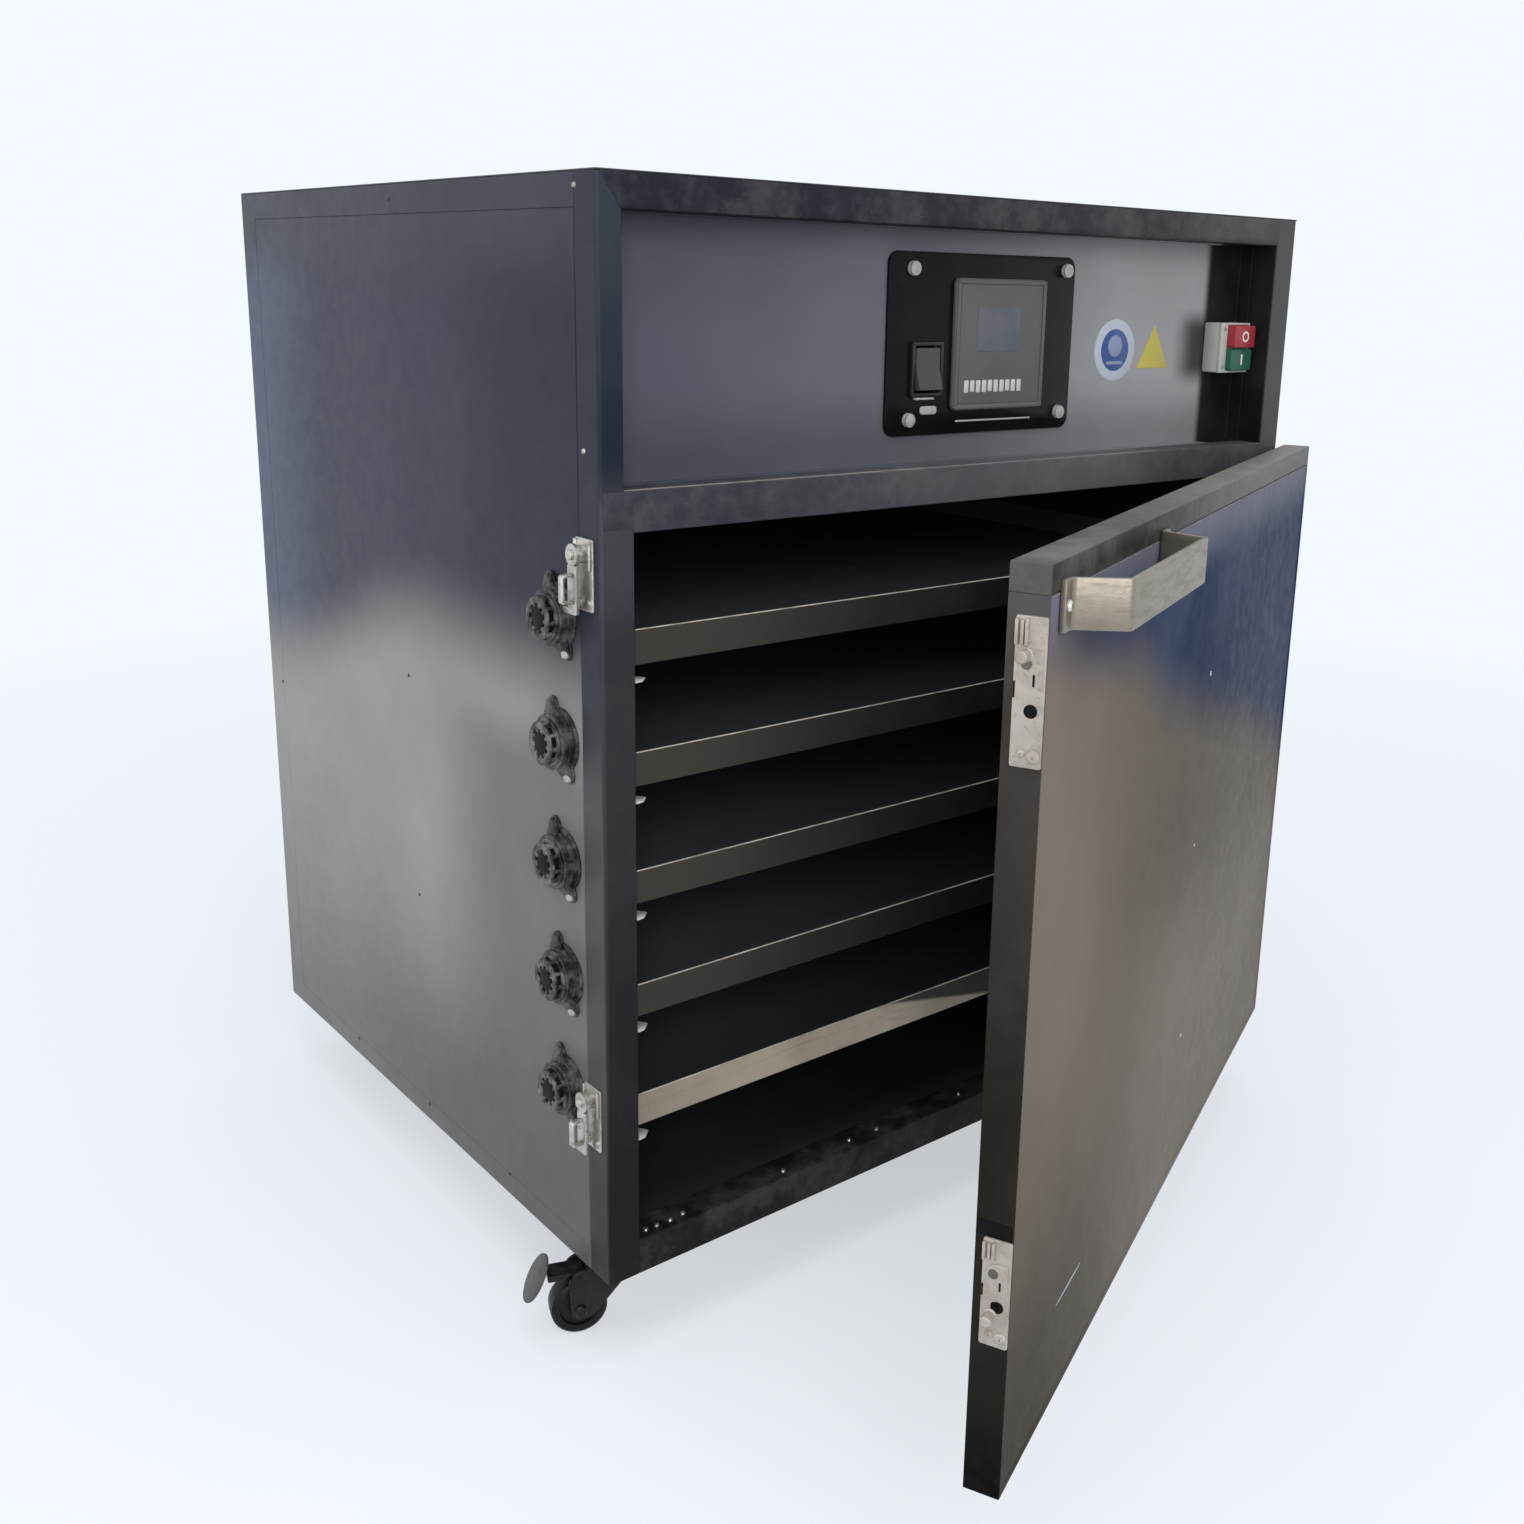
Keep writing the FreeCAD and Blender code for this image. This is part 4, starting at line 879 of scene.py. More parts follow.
def dress_seams():
    """Mastic that fills the seams round the side sheets almost flush."""
    y0, y1, z0, z1 = SHEET_SEAMS
    near, far = 0.1, 0.9
    bm = bmesh.new()
    for x in (0.2, WIDTH - 1.2):
        for low, high in (((y0 - far, z0 - far), (y0 - near, z1 + far)),
                          ((y1 + near, z0 - far), (y1 + far, z1 + far)),
                          ((y0, z0 - far), (y1, z0 - near)),
                          ((y0, z1 + near), (y1, z1 + far))):
            add_block(bm, (x, *low), (x + 1.0, *high), 0.0)
    cabinet_piece("seam_filler", bm, "side_sheet")


def dress_rail_fronts():
    """The top rail's mitre, the middle rail's end over the left post, and dust on its edge."""
    end_y, end_depth = -0.25, 0.3
    bm = bmesh.new()
    add_outline(bm, [(3.2, 898.8), (21.6, 898.8), (21.6, 872.0)], "Y", end_y, end_depth, 0.05)
    add_outline(bm, [(3.2, 641.6), (30.2, 641.6), (30.2, MID_RAIL_TOP), (3.2, MID_RAIL_TOP)], "Y",
                end_y, end_depth, 0.05)
    cabinet_piece("rail_ends", bm, "rail")

    bm = bmesh.new()
    add_block(bm, (22.0, 1.0, MID_RAIL_TOP), (330.0, 4.6, MID_RAIL_TOP + 0.9), 0.3)
    add_block(bm, (330.0, 1.4, MID_RAIL_TOP), (640.0, 3.2, MID_RAIL_TOP + 0.7), 0.2)
    cabinet_piece("rail_dust", bm, "dust_and_highlight_line")


def dress_rivets():
    """Rivets of the side sheets, two at the front's edge, and screws and crumbs on the floor."""
    bm = bmesh.new()
    for y, z in SIDE_RIVETS:
        for x, way in ((0.0, -1), (WIDTH, 1)):
            add_lathe(bm, "X", (x, y, z), [(0.0, 0.9 * way), (1.2, 0.7 * way), (1.9, 0.0)], 12)
    cabinet_piece("side_rivets", bm, "black_plastic")
    bm = bmesh.new()
    for y, z in ((29, 889), (21.3, 699)):
        add_lathe(bm, "X", (0, y, z), [(0.0, -1.4), (1.6, -1.1), (2.2, 0.0)], 16)
    cabinet_piece("front_rivet", bm, "zinc")
    bm = bmesh.new()
    for x, y in FLOOR_SPOTS:
        add_lathe(bm, "Z", (x, y, BOTTOM_RAIL_TOP), [(0.0, 2.0), (1.9, 1.6), (2.6, 0.0)], 12)
    cabinet_piece("floor_rivets", bm, "zinc")


# -------------------------------- controls

def dress_plate():
    """The control plate: a rectangle with rounded corners round the rocker's window."""
    x0, z0, x1, z1 = PLATE
    left, foot, right, top = ROCKER_WINDOW
    bm = bmesh.new()
    bm.faces.new([bm.verts.new((x, PLATE_Y, z))
                  for x, z in ((x0, z0), (x1, z0), (x1, z1), (x0, z1))])
    for spot, normal in (((left, 0, 0), (1, 0, 0)), ((right, 0, 0), (1, 0, 0)),
                         ((0, 0, foot), (0, 0, 1)), ((0, 0, top), (0, 0, 1))):
        bmesh.ops.bisect_plane(bm, geom=bm.verts[:] + bm.edges[:] + bm.faces[:],
                               plane_co=spot, plane_no=normal)
    hole = []
    for face in bm.faces:
        middle = face.calc_center_median()
        if left < middle.x < right and foot < middle.z < top:
            hole.append(face)
    bmesh.ops.delete(bm, geom=hole, context="FACES")
    corners = [v for v in bm.verts if min(abs(v.co.x - x0), abs(v.co.x - x1)) < NEAR
               and min(abs(v.co.z - z0), abs(v.co.z - z1)) < NEAR]
    bmesh.ops.bevel(bm, geom=corners, offset=11.0, offset_type="OFFSET", segments=8, profile=0.5,
                    affect="VERTICES", material=-1)
    extrude_all(bm, (0, RECESS_Y - PLATE_Y, 0))
    round_edges(bm, sharp_edges(bm, angle=60), 0.7)
    cabinet_piece("control_plate_gloss", bm, "black_gloss", ("control_plate",))


def dress_display():
    """Display: outer frame, inner frame, face, glass and a blank row of keys under it."""
    x0, z0, x1, z1 = DISPLAY
    bm = bmesh.new()
    add_block(bm, (x0, PLATE_Y - 4.6, z0), (x1, PLATE_Y, z1), 1.2, corner=5.0, axis=1)
    add_border(bm, (x0 + 1, z0 + 1, x1 - 1, z1 - 1), 4.0, 2.0, PLATE_Y - 6.0, PLATE_Y - 4.0, 0.7, 1.8)
    cabinet_piece("display_frame", bm, "bezel", ("display_module",))
    bm = bmesh.new()
    add_block(bm, (x0 + 6, PLATE_Y - 5.2, z0 + 6), (x1 - 6, PLATE_Y - 4.2, z1 - 6), 0.3,
              corner=3.0, axis=1)
    cabinet_piece("display_face", bm, "bezel")

    left, foot, right, top = GLASS
    bm = bmesh.new()
    add_block(bm, (left, PLATE_Y - 5.6, foot), (right, PLATE_Y - 5.0, top), 0.2, corner=2.5, axis=1)
    cabinet_piece("display_window", bm, "display_glass")

    first_key, pitch, key_width = 407, 7.6, 5.4
    bm = bmesh.new()
    for key in range(10):
        x = first_key + pitch * key
        low = 730.5 + 0.7 * (key % 3 == 1)
        add_block(bm, (x, PLATE_Y - 5.7, low), (x + key_width, PLATE_Y - 5.1, 741.5), 0.2,
                  corner=1.0, axis=1)
    cabinet_piece("display_keys", bm, "white_print")


def dress_plate_trim():
    """Bright strip under the display, dull strips by the rocker, and domed nuts at the corners."""
    bm = bmesh.new()
    add_block(bm, (402, PLATE_Y - 1.3, 704.0), (500, PLATE_Y, 705.6), 0.3)
    add_block(bm, (357, PLATE_Y - 2.0, 712), (377, PLATE_Y, 719.5), 0.6, corner=3.0, axis=1)
    add_block(bm, (349, PLATE_Y - 4.4, 725.4), (371, PLATE_Y, 727.4), 0.4)
    cabinet_piece("plate_trim", bm, "nut_metal")

    dome = [(6.4, 0.0), (6.4, -2.4), (5.6, -3.6), (4.2, -4.4), (2.2, -4.8), (0.0, -4.9)]
    bm = bmesh.new()
    for x, z in ((344.4, 839), (541, 841), (343.5, 707.7), (539, 709)):
        add_lathe(bm, "Y", (x, PLATE_Y, z), dome, 24)
    cabinet_piece("plate_nuts", bm, "nut_metal")


def dress_rocker():
    """Rocker's rim, and the rocker tilted about its own pin."""
    bm = bmesh.new()
    add_border(bm, ROCKER_RIM, 3.4, 1.0, PLATE_Y - 4.0, PLATE_Y, 0.9, 1.2)
    cabinet_piece("rocker_rim", bm, "black_plastic", ("rocker_frame",))

    pin, tilt, half_width = (362.8, PLATE_Y - 3.0, 752), math.radians(-9), 14.0
    bm = bmesh.new()
    profile = [(3.0, -18.5), (-4.0, -18.5), (-2.2, -6.0), (-1.6, 0.0), (-2.2, 6.0), (-4.0, 18.5),
               (3.0, 18.5)]
    add_outline(bm, profile, "X", -half_width, 2 * half_width, 0.7)
    place = BODY @ Matrix.Translation(pin) @ Matrix.Rotation(tilt, 4, "X")
    finish_piece("rocker", bm, place, "rocker_grey", "rocker", ("rocker_switch",))


def dress_starter():
    """Starter: body, pale cover round the keys, its screws, and the two keys with plain marks."""
    face, back = RECESS_Y - 22.0, RECESS_Y
    x, z = STARTER
    wide, high = 48, 51
    bm = bmesh.new()
    add_block(bm, (x, face + 3.0, z), (x + wide, back, z + high), 0.8, corner=2.0, axis=1)
    cabinet_piece("starter_body", bm, "ivory_plastic", ("starter_box",))
    bm = bmesh.new()
    for low, high_end in (((x, z), (x + 10.5, z + high)), ((x + 45.4, z), (x + wide, z + high)),
                          ((x + 10, z), (x + 46, z + 2.2)), ((x + 10, z + 48.8), (x + 46, z + high))):
        add_block(bm, (low[0], face, low[1]), (high_end[0], face + 4.0, high_end[1]), 0.5)
    cabinet_piece("starter_cover", bm, "ivory_plastic")
    bm = bmesh.new()
    for lift in (45, 6):
        add_rod(bm, "Y", (x + 5, face - 0.3, z + lift), 2.2, 0.6, 0.15, 16)
    cabinet_piece("starter_screws", bm, "zinc")

    for name, colour, node, front, foot, top in (
            ("stop_key", "red_plastic", "stop_button", 10, 26, 48.5),
            ("start_key", "green_plastic", "start_button", 7, 2.5, 24.5)):
        bm = bmesh.new()
        add_block(bm, (x + 11, face - front, z + foot), (x + 45, back - 8, z + top), 1.4,
                  corner=2.2, axis=1, segments=3)
        finish_piece(name, bm, BODY, colour, name, (node,))
    bm = bmesh.new()
    add_lathe(bm, "Y", (x + 28, face - 10.2, z + 37.2),
              [(5.6, 0.4), (5.6, 0.0), (3.6, 0.0), (3.6, 0.4)], 28)
    finish_piece("stop_mark", bm, BODY, "white_print", "stop_key")
    bm = bmesh.new()
    add_block(bm, (x + 26.7, face - 7.2, z + 8.0), (x + 29.3, face - 6.8, z + 19.0), 0.08)
    finish_piece("start_mark", bm, BODY, "white_print", "start_key")


def dress_labels():
    """Blank stickers: a round one with a blue middle and a plain three-sided one."""
    x, thick = 622, 0.3
    bm = bmesh.new()
    add_rod(bm, "Y", (x, RECESS_Y - 0.25, 766.5), 30.0, thick, 0.08, 64)
    cabinet_piece("round_label", bm, "label_rim")
    bm = bmesh.new()
    add_rod(bm, "Y", (x, RECESS_Y - 0.4, 766.5), 20.5, thick, 0.08, 48)
    cabinet_piece("round_label_middle", bm, "label_blue")
    bm = bmesh.new()
    add_rod(bm, "Y", (x, RECESS_Y - 0.55, 770.5), 10.5, thick, 0.08, 32)
    add_block(bm, (x - 12, RECESS_Y - 0.55, 752.5), (x + 12, RECESS_Y - 0.25, 755.5), 0.05)
    cabinet_piece("round_label_dot", bm, "label_haze")
    bm = bmesh.new()
    add_outline(bm, [(657, 748), (706, 748), (682, 791.5)], "Y", RECESS_Y - 0.3, 0.25, 0.05,
                corner=2.0)
    cabinet_piece("three_sided_label", bm, "label_yellow")


def dress_wiring():
    """The gear behind the fascia and the cable gland on the back."""
    soften("gear", "control_gear", "grey_plastic", "cabinet", edge=1.0)
    x, z, nut = 760, 700, 6.0
    bm = bmesh.new()
    add_rod(bm, "Y", (x, DEPTH + 1.2, z), 13.0, nut, 0.6, 6)
    add_lathe(bm, "Y", (x, DEPTH + 1.2 + nut, z),
              [(10.0, 0.0), (10.0, 8.0), (8.6, 11.5), (6.0, 13.0), (0.0, 13.0)], 28)
    cabinet_piece("gland", bm, "black_plastic", ("cable_gland",))


# -------------------------------- trays and heater

def dress_trays():
    """Trays, each with a pale line along its lip that is a painted highlight, and the rails' flanges
    below the lips.
    """
    lip_y, lip_radius = 4.5, 0.6
    for level, top in enumerate(TRAY_TOPS):
        node = f"tray_{level + 1}"
        material = "bare_tray" if level == 0 else "tray"
        soften(f"{node}_pan", node, material, "cabinet", edge=0.6)
        bm = bmesh.new()
        # A pale line painted as the highlight of the lip's top edge.
        add_rod(bm, "X", (33.0, lip_y, top - 0.1), lip_radius, 780.0, 0.1, 12)
        cabinet_piece(f"{node}_lip", bm, "lip_edge_highlight")
    bm = bmesh.new()
    for top in TRAY_TOPS:
        add_outline(bm, [(33.2, 4.5), (40.0, 5.5), (47.6, 13.0), (42.0, 22.0), (33.2, 30.0)], "Z",
                    top - 42.8, 1.2, 0.2)
    cabinet_piece("rail_tabs", bm, "bright_tab")
    paint_node("tray_rails", "rail_metal")
    soften("heater", "heater_elements", "tube_metal", "cabinet", edge=0.3)


# -------------------------------- fan motors and fans

def motor_body():
    """A motor's round body on its two-eared flange, with a groove and two slanted fairings."""
    bm = bmesh.new()
    add_rod(bm, "X", (MOTOR_FACE, 0, 0), 26.5, -MOTOR_FACE, 0.6, 40)
    add_block(bm, (MOTOR_FACE, -7.5, -36.5), (0, 7.5, 36.5), 0.6, corner=7.0, axis=0)
    add_lathe(bm, "X", (MOTOR_FACE, 0, 0),
              [(23.0, 0.0), (23.0, -3.0), (21.6, -4.0), (21.6, -7.6), (23.0, -8.6),
               (23.0, -9.9), (22.2, -10.5), (0.0, -10.5)], 40)
    add_lathe(bm, "X", (0, 0, 0), [(0.0, 8.0), (19.0, 8.0), (19.0, -1.0)], 32)
    for sign in (1, -1):
        add_outline(bm, [(MOTOR_FACE, sign * 34), (-9.0, sign * 22), (-9.0, sign * 16),
                         (MOTOR_FACE, sign * 16)], "Y", -7.0, 14.0, 1.2)
    return bm


def motor_cap():
    """A motor's slotted end cap: a disc and a thin rim joined by uneven bars."""
    bars, inner, outer = 9, 9.0, 17.8
    bm = bmesh.new()
    add_rod(bm, "X", (-14.4, 0, 0), 19.4, 1.4, 0.4, 40)
    add_lathe(bm, "X", (-20.9, 0, 0), [(12.0, 2.6), (12.0, 0.4), (13.0, 0.0), (16.6, 0.0),
                                       (17.6, 0.7), (17.6, 1.6), (16.6, 2.2), (12.0, 2.6)], 40)
    for index in range(bars):
        bar = bmesh.new()
        half = 1.5 + 0.7 * (index % 3 == 1)
        add_block(bar, (-20.6, -half, inner), (-13.5, half, outer), 0.6)
        merge_into(bm, bar, Matrix.Rotation(2 * math.pi / bars * index, 4, "X"))
    return bm


def motor_core():
    bm = bmesh.new()
    add_rod(bm, "X", (-18.0, 0, 0), 15.5, 5.0, 0.4, 36)
    add_rod(bm, "X", (-20.3, 0, 0), 9.5, 3.0, 0.8, 24)
    return bm


def motor_screw(sign):
    """The screw in a motor's upper ear, 1, or lower ear, -1."""
    bm = bmesh.new()
    add_lathe(bm, "X", (MOTOR_FACE, 0, sign * 30.5),
              [(4.4, 0.0), (4.4, -1.4), (3.4, -2.7), (0.0, -2.9)], 20)
    return bm


def dress_motors():
    tilt = Matrix.Rotation(math.radians(-23.8), 4, "X")
    bodies, caps, cores, screws, dull = (bmesh.new() for _ in range(5))
    for z in MOTOR_HEIGHTS:
        place = Matrix.Translation((0, MOTOR_Y, z)) @ tilt
        merge_into(bodies, motor_body(), place)
        merge_into(caps, motor_cap(), place)
        merge_into(cores, motor_core(), place)
        merge_into(dull, motor_screw(1), place)
        merge_into(screws, motor_screw(-1), place)
    cabinet_piece("motor_bodies", bodies, "motor_plastic", ("fan_motors",))
    cabinet_piece("motor_caps", caps, "motor_rib", ("motor_end_caps",))
    cabinet_piece("motor_cores", cores, "motor_slot")
    cabinet_piece("motor_screws", screws, "nut_metal")
    cabinet_piece("motor_screws_dull", dull, "motor_plastic")


def dress_fans():
    """A hub on a shaft with flat blades, inside the side, for each motor."""
    blades = 6
    for index, z in enumerate(MOTOR_HEIGHTS):
        bm = bmesh.new()
        add_rod(bm, "X", (-2, MOTOR_Y, z), 2.5, 26, 0.3, 16)
        add_lathe(bm, "X", (11, MOTOR_Y, z),
                  [(0.0, 0.0), (8.0, 0.0), (8.0, 10.0), (5.5, 12.0), (0.0, 12.0)], 28)
        for blade_index in range(blades):
            blade = bmesh.new()
            add_block(blade, (12.5, -0.8, 7.0), (21.5, 0.8, 27.0), 0.5)
            merge_into(bm, blade, Matrix.Translation((0, MOTOR_Y, z)) @ Matrix.Rotation(
                2 * math.pi / blades * blade_index, 4, "X"))
        finish_piece(f"fan_wheel_{index + 1}", bm, BODY, "black_plastic", f"rotor_{index + 1}",
                     (f"fan_{index + 1}",))


# -------------------------------- latches and strikes

def add_latch_base(bm, middle):
    """A latch's plate with two folded ribs, and its stud."""
    face = -2.0
    add_block(bm, (face, 8.0, middle - 28), (0.0, 33.0, middle + 28), 0.5, corner=2.0, axis=0)
    add_block(bm, (-4.5, 8.6, middle + 4), (-1.5, 11.4, middle + 27), 0.8)
    add_block(bm, (-4.5, 29.6, middle - 26), (-1.5, 32.4, middle + 27), 0.8)
    add_lathe(bm, "X", (face, STUD_Y, middle + STUD_LIFT),
              [(7.0, 0.0), (7.0, -5.4), (6.2, -6.4), (4.0, -6.5), (4.0, -12.2), (3.3, -13.0),
               (0.0, -13.0)], 24)


def latch_lever(z):
    """A hook whose eye is on the stud at a height, with a bent finger loop across it."""
    y, back = STUD_Y, -12.0
    bm = bmesh.new()
    hook = [(y + 6, z - 8), (y + 6, z - 41.5), (y + 14, z - 41.5), (y + 14, z - 43.5),
            (y + 11, z - 46), (y - 6, z - 46), (y - 6, z - 8)]
    add_outline(bm, hook, "X", back, 3.0, 0.6, corner=1.2)
    add_lathe(bm, "X", (back, y, z), [(8.5, 0.0), (8.5, 3.0), (4.1, 3.0), (4.1, 0.0), (8.5, 0.0)], 32)
    loop = [(-12.4, z - 38), (-20.4, z - 37.4), (-22.0, z - 35.8), (-22.0, z - 16.2),
            (-20.4, z - 14.6), (-12.4, z - 14.0), (-12.4, z - 16.6), (-18.2, z - 17.0),
            (-19.5, z - 18.2), (-19.5, z - 33.8), (-18.2, z - 35.0), (-12.4, z - 35.4)]
    add_outline(bm, loop, "Y", y - 3.0, 6.0, 0.7)
    return bm


def dress_latches():
    bases = bmesh.new()
    screws = bmesh.new()
    head = [(3.0, 0.0), (3.0, -0.7), (2.2, -1.6), (0.7, -1.8), (0.7, -0.9), (0.0, -0.9)]
    for name, middle in (("top", 606.0), ("bottom", 150.0)):
        add_latch_base(bases, middle)
        for y in (14.0, 27.0):
            add_lathe(screws, "X", (-2.0, y, middle - 22.0), head, 20)
        finish_piece(f"hook_{name}_lever", latch_lever(middle + STUD_LIFT), BODY, "zinc",
                     f"hook_{name}", (f"latch_hook_{name}",))
    cabinet_piece("latch_plates", bases, "zinc", ("latch_bases",))
    cabinet_piece("latch_screws", screws, "zinc_bright")


def add_strike_plate(bm, low, high, stud):
    """A strike: plate with a stud, a folded block of three uneven fins, and a raised ear."""
    size = high - low
    add_block(bm, (STRIKE_FACE, DOOR_FACE, low), (DOOR_LEFT, STRIKE_BACK, high), 0.5,
              corner=1.6, axis=0)
    add_lathe(bm, "X", (STRIKE_FACE, DOOR_BACK - 14.0, stud),
              [(5.0, 0.0), (5.0, -1.0), (4.0, -1.6), (4.0, -9.2), (3.2, -10.0), (0.0, -10.0)], 24)
    for index, (deep, drop) in enumerate(((4.0, 0.0), (2.6, 1.5), (3.4, 0.6))):
        y = DOOR_FACE + 11.0 + 3.4 * index
        add_block(bm, (STRIKE_FACE - deep, y, high - 0.2 * size + 1),
                  (STRIKE_FACE + 0.5, y + 2.2, high - 1.0 - drop), 0.7)
    y = DOOR_FACE
    ear = [(y + 1.5, high - 0.21 * size), (y + 12, high - 0.21 * size),
           (y + 17.5, high - 0.27 * size), (y + 17.5, high - 0.42 * size),
           (y + 9.0, high - 0.46 * size), (y + 1.5, high - 0.46 * size)]
    add_outline(bm, ear, "X", STRIKE_FACE - 1.0, 1.6, 0.7, corner=4.0, picked=(1, 2, 3))


def add_strike_holes(bm, low, high):
    """A strike's slots and its round hole, as shallow black shapes that paint the shade inside them.
    """
    size = high - low
    y = DOOR_FACE
    add_block(bm, (STRIKE_FACE - 1.2, y + 6.2, high - 0.455 * size),
              (STRIKE_FACE - 0.8, y + 7.6, high - 0.375 * size), 0.1)
    add_lathe(bm, "X", (STRIKE_FACE, y + 8.2, high - 0.62 * size),
              [(4.4, 0.0), (4.4, -0.25), (0.0, -0.25)], 24)
    add_block(bm, (STRIKE_FACE - 0.3, STRIKE_BACK - 1.4, high - 0.54 * size),
              (STRIKE_FACE + 0.2, STRIKE_BACK - 0.3, high - 0.43 * size), 0.1)


def dress_strikes():
    plates, holes, dents, screws = (bmesh.new() for _ in range(4))
    for low, high, stud in ((540.0, 635.0, 611.0), (131.0, 212.0, 155.0)):
        add_strike_plate(plates, low, high, stud)
        add_strike_holes(holes, low, high)
        add_lathe(dents, "X", (STRIKE_FACE - 0.9, DOOR_FACE + 12.0, high - 0.31 * (high - low)),
                  [(3.6, 0.0), (3.6, -0.3), (0.0, -0.3)], 24)
        for across, lift, radius in ((5.0, 7.5, 4.4), (13.0, 9.0, 2.6)):
            add_lathe(screws, "X", (STRIKE_FACE, DOOR_FACE + across, low + lift),
                      [(radius, 0.0), (radius, -0.6), (0.7 * radius, -1.5), (0.7, -1.7),
                       (0.7, -0.9), (0.0, -0.9)], 20)
    # Black patch above the lower strike, a dark smear on it, and its two bright dots.
    add_block(holes, (DOOR_LEFT - 0.25, DOOR_FACE + 1.0, 212.2),
              (DOOR_LEFT + 0.2, DOOR_BACK - 0.5, 224.0), 0.1)
    add_block(holes, (STRIKE_FACE - 0.25, DOOR_FACE + 7.0, 158.0),
              (STRIKE_FACE + 0.2, DOOR_FACE + 13.0, 165.5), 0.1, corner=2.5, axis=0)
    for z in (198.5, 183.5):
        add_lathe(screws, "X", (STRIKE_FACE, DOOR_FACE + 13.5, z),
                  [(2.2, 0.0), (2.0, -0.5), (0.0, -0.7)], 16)
    door_piece("strike_plates", plates, "strike_metal", ("door_strikes",))
    door_piece("strike_holes", holes, "motor_slot")
    door_piece("strike_dents", dents, "dull_zinc")
    door_piece("strike_screws", screws, "strike_metal")


# -------------------------------- door

def dress_door_border():
    """The folded border, wide along the top and narrow along the other edges."""
    x0, x1, z0, z1 = DOOR_LEFT, DOOR_RIGHT, DOOR_LOW, DOOR_HIGH
    foot, head = z0 + BORDER, z1 - TOP_BAR
    bm = bmesh.new()
    for low, high in (((x0, z0), (x1, foot)), ((x0, foot), (x0 + BORDER, head)),
                      ((x1 - BORDER, foot), (x1, head))):
        add_block(bm, (low[0], DOOR_FACE, low[1]), (high[0], DOOR_BACK, high[1]), 0.7)
    door_piece("door_bars", bm, "door_border", ("door_frame",))
    bm = bmesh.new()
    add_block(bm, (x0, DOOR_FACE, head), (x1, DOOR_BACK, z1), 0.8)
    door_piece("door_top_bar", bm, "door_top")


def dress_door_sheet():
    """The front sheet, all but flush, with a fine gap, a pale line under the top bar painted as the
    crease's highlight, and chips in its paint.
    """
    y, gap = DOOR_FACE + 0.7, 0.35
    left, right = DOOR_LEFT + BORDER + gap, DOOR_RIGHT - BORDER - gap
    head = DOOR_HIGH - TOP_BAR
    bm = bmesh.new()
    add_block(bm, (left, y, DOOR_LOW + BORDER + gap), (right, y + 2.0, head - 0.8), 0.4)
    door_piece("door_front_sheet", bm, "door_sheet", ("door_skin",))
    # A pale line painted as the highlight of the crease under the top bar.
    bm = bmesh.new()
    add_block(bm, (left, y - 0.3, head - 2.4), (right, y + 0.6, head - 1.2), 0.3)
    door_piece("door_crease_highlight", bm, "dust_and_highlight_line")
    bm = bmesh.new()
    for x, z, half_width, half_height, lean in PAINT_CHIPS:
        chip = bmesh.new()
        add_rod(chip, "Y", (0, 0, 0), 1.0, 0.2, 0.0, 14)
        bmesh.ops.scale(chip, vec=(half_width, 1, half_height), verts=chip.verts)
        merge_into(bm, chip, Matrix.Translation((x, y - 0.12, z))
                   @ Matrix.Rotation(math.radians(lean), 4, "Y"))
    door_piece("paint_chips", bm, "label_rim")
    soften("door_back_sheet", "door_inner_panel", "liner", "door", edge=0.3)
    paint_node("door_insulation", "wool")
    soften("door_seal", "door_gasket", "gasket", "door", edge=0.7)


def dress_handle():
    """A flat bar bent into a bridge, with a screw in each foot."""
    bar, standoff, inset = 4.0, 38.0, 3
    foot_left, foot_right = DOOR_RIGHT - 839.5, DOOR_RIGHT - 596.0
    bend_left, bend_right = DOOR_RIGHT - 812.0, DOOR_RIGHT - 620.0
    foot, under, out = DOOR_FACE, DOOR_FACE - bar, DOOR_FACE - standoff
    outline = [(foot_left, foot), (foot_left, under), (foot_left + 12, under),
               (bend_left, out), (bend_right, out),
               (foot_right - 12, under), (foot_right, under), (foot_right, foot),
               (foot_right - 14, foot), (bend_right - inset, out + bar),
               (bend_left + inset, out + bar), (foot_left + 14, foot)]
    bm = bmesh.new()
    add_outline(bm, outline, "Z", 622.0, 33.0, 0.7, corner=3.0, picked=(2, 3, 4, 5, 8, 9, 10, 11))
    door_piece("handle_bridge", bm, "handle_metal", ("door_handle",))
    bm = bmesh.new()
    for x in (foot_left + 6, foot_right - 6):
        add_lathe(bm, "Y", (x, under, 638.5),
                  [(4.0, 0.0), (4.0, -0.8), (2.8, -2.3), (0.9, -2.5), (0.9, -1.3), (0.0, -1.3)], 20)
    door_piece("handle_screws", bm, "zinc_bright", ("door_screws",))


def dress_hinges():
    soften("hinge_straps", "cabinet_hinge_straps", "frame", "cabinet", edge=0.5)
    soften("hinge_leaves", "door_hinge_leaves", "frame", "door", edge=0.4)
    paint_node("cabinet_screws", "zinc")


# -------------------------------- casters

def add_caster_mount(plates, bolts, x, y):
    """A caster's plate with its stem, and the four bolts under it."""
    add_block(plates, (x - 28, y - 30, -3), (x + 28, y + 30, 0), 0.5, corner=5.0, axis=2)
    add_rod(plates, "Z", (x, y, -9), 6, 6.5, 0.3, 24)
    for across in (-20, 20):
        for along in (-22, 22):
            add_rod(bolts, "Z", (x + across, y + along, -6.2), 4.6, 3.4, 0.4, 6)


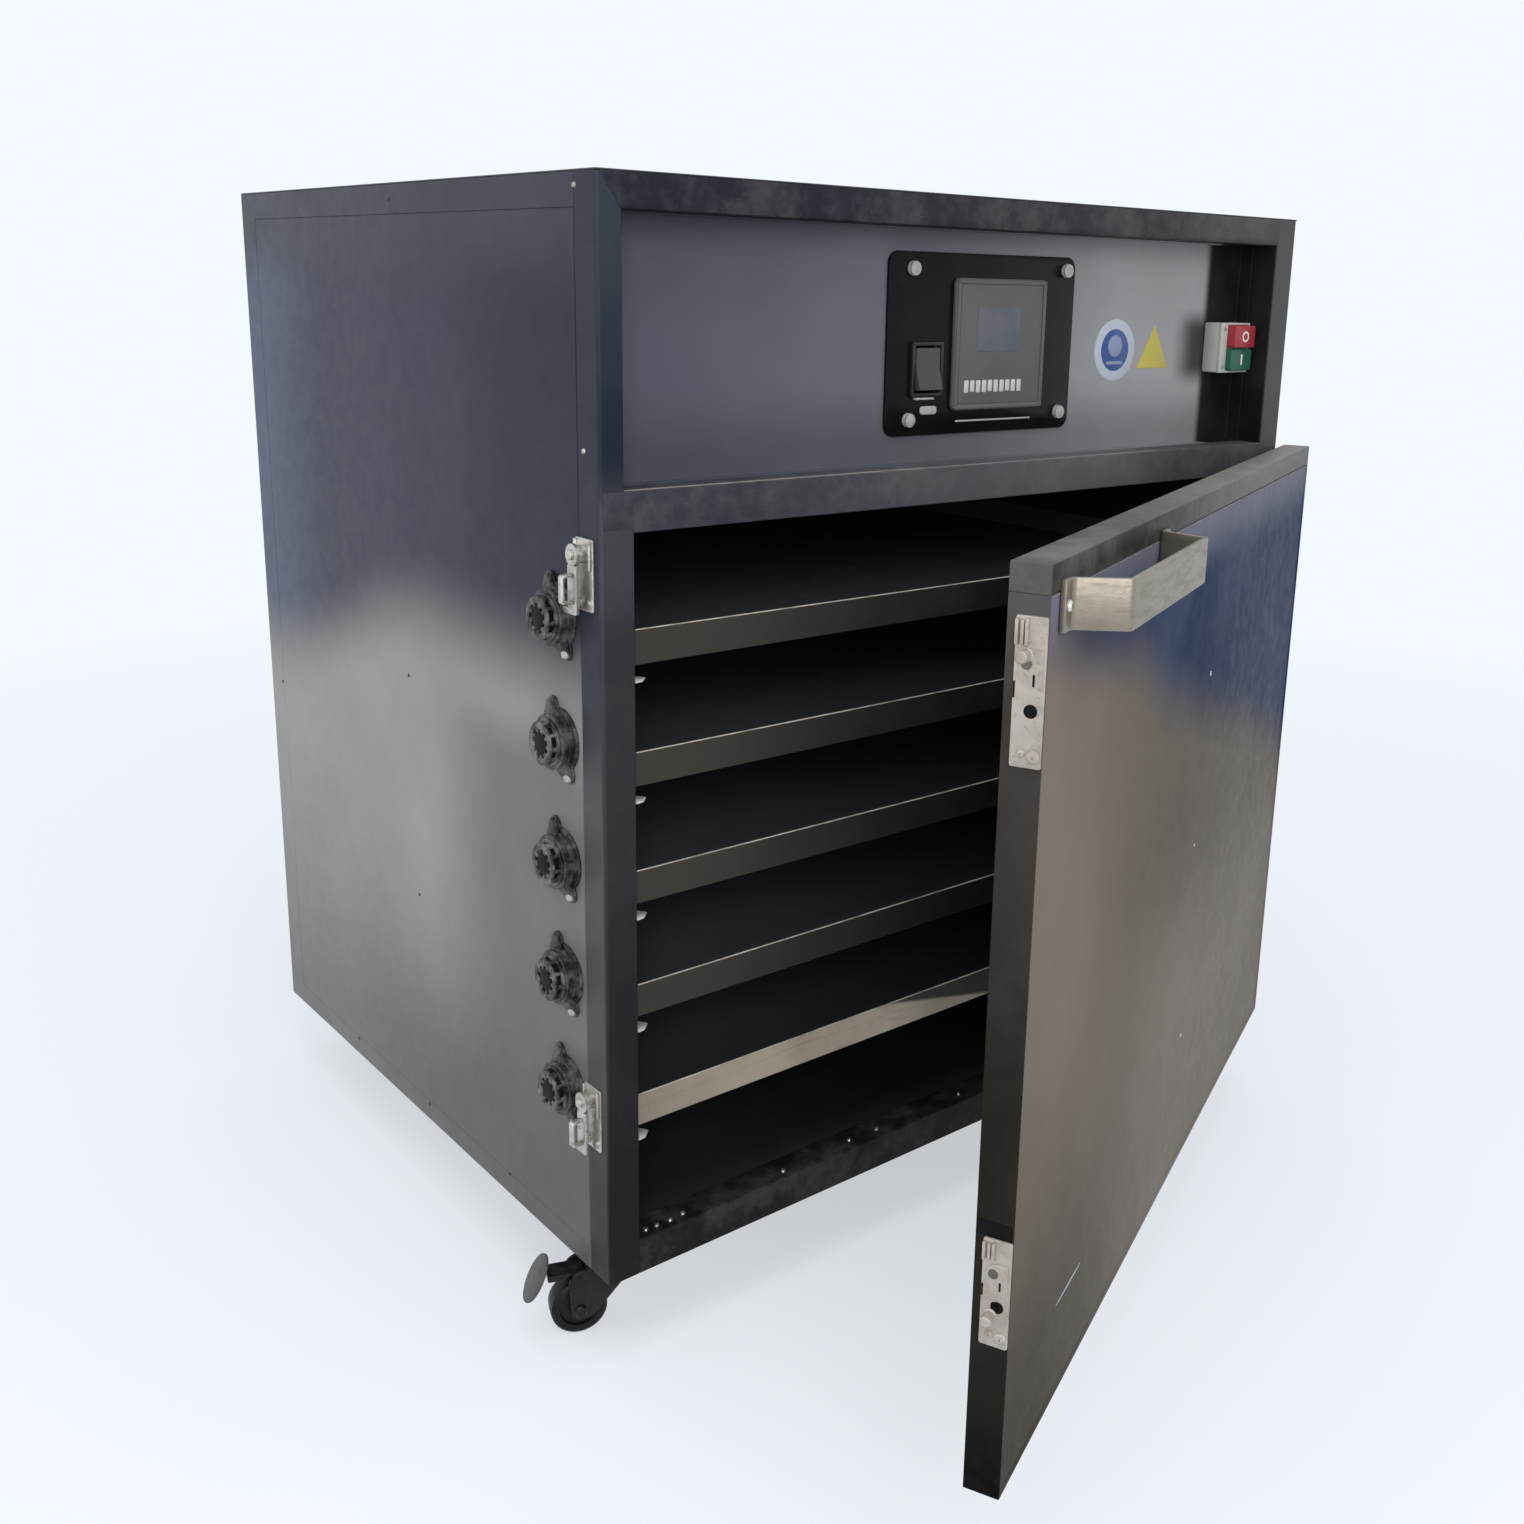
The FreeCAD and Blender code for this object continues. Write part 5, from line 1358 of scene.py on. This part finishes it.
def caster_fork(has_pedal):
    """A fork under its round swivel plate, with the axle and, with a pedal, the pedal's pin."""
    x, z = AXLE
    leg_face = 14.5
    bm = bmesh.new()
    add_lathe(bm, "Z", (0, 0, 0), [(6.3, -12.0), (6.3, -3.3), (16.0, -3.3), (19.0, -5.5),
                                   (19.0, -9.0), (17.0, -12.0), (6.3, -12.0)], 36)
    add_block(bm, (-10, -leg_face, -15), (24, leg_face, -11.6), 0.8, corner=4.0, axis=2)
    leg = [(-10, -12), (-10, -26), (20, -60), (38, -60), (40, -20), (30, -12)]
    for side in (-leg_face, 12.0):
        add_outline(bm, leg, "Y", side, 2.5, 0.6, corner=6.0, picked=(1, 2, 3, 4, 5))
    for way in (-1, 1):
        add_lathe(bm, "Y", (x, leg_face * way, z),
                  [(5.5, 0.0), (5.5, 1.6 * way), (4.4, 2.5 * way), (0.0, 2.5 * way)], 16)
    add_rod(bm, "Y", (x, -14, z), 3.9, 28, 0.1, 16)
    if has_pedal:
        add_rod(bm, "Y", (x, -leg_face, -18), 1.95, 2 * leg_face, 0.2, 12)
    return bm


def caster_wheel():
    """A tyre with rounded shoulders on a hub that steps out to both sides."""
    half = [(9.0, 9.0), (9.4, 7.2), (16.6, 7.2), (17.4, 9.4), (22.5, 10.0), (24.6, 8.6), (25.0, 5.0)]
    bm = bmesh.new()
    add_lathe(bm, "Y", (AXLE[0], 0, AXLE[1]),
              [(4.15, -9.0)] + [(radius, -along) for radius, along in half]
              + half[::-1] + [(4.15, 9.0), (4.15, -9.0)], 56)
    return bm


def dress_pedal(where, place):
    """A pedal: an arm on the fork's pin, and an oval plate that leans outwards."""
    arm = bmesh.new()
    add_block(arm, (25, -10, -21.5), (57, 10, -15.5), 1.0, corner=1.5, axis=2)
    finish_piece(f"pedal_arm_{where}", arm, place, "fork", f"pedal_{where}")
    half_length, half_width, lean = 22.0, 18, math.radians(62)
    plate = bmesh.new()
    add_rod(plate, "Z", (0, 0, 0), half_length, 2.5, 0.8, 48)
    bmesh.ops.scale(plate, vec=(1, half_width / half_length, 1), verts=plate.verts)
    bmesh.ops.transform(plate, verts=plate.verts, matrix=Matrix.Translation((65, 0, -21))
                        @ Matrix.Rotation(lean, 4, "Y"))
    finish_piece(f"pedal_{where}", plate, place, "pedal_metal", f"pedal_{where}",
                 (f"brake_pedal_{where}",))


def dress_casters():
    spots = {"front_left": (33, 52), "front_right": (WIDTH - 33, 52),
             "rear_left": (48, DEPTH - 62), "rear_right": (WIDTH - 48, DEPTH - 62)}
    plates = bmesh.new()
    bolts = bmesh.new()
    for where, (x, y) in spots.items():
        at_front = where.startswith("front")
        turn = math.radians(160 if at_front else -25)
        place = BODY @ Matrix.Translation((x, y, 0)) @ Matrix.Rotation(turn, 4, "Z")
        add_caster_mount(plates, bolts, x, y)
        finish_piece(f"fork_{where}", caster_fork(at_front), place, "fork", f"swivel_{where}",
                     (f"caster_fork_{where}",))
        finish_piece(f"wheel_{where}", caster_wheel(), place, "rubber", f"wheel_{where}",
                     (f"caster_wheel_{where}",))
        if at_front:
            dress_pedal(where, place)
    cabinet_piece("caster_mounts", plates, "zinc", ("caster_plates",))
    cabinet_piece("caster_bolts", bolts, "zinc")


set_camera()
set_light()
set_floor()
make_materials()
dress_frame()
dress_seams()
dress_rail_fronts()
dress_rivets()
dress_plate()
dress_display()
dress_plate_trim()
dress_rocker()
dress_starter()
dress_labels()
dress_wiring()
dress_trays()
dress_motors()
dress_fans()
dress_latches()
dress_strikes()
dress_door_border()
dress_door_sheet()
dress_handle()
dress_hinges()
dress_casters()
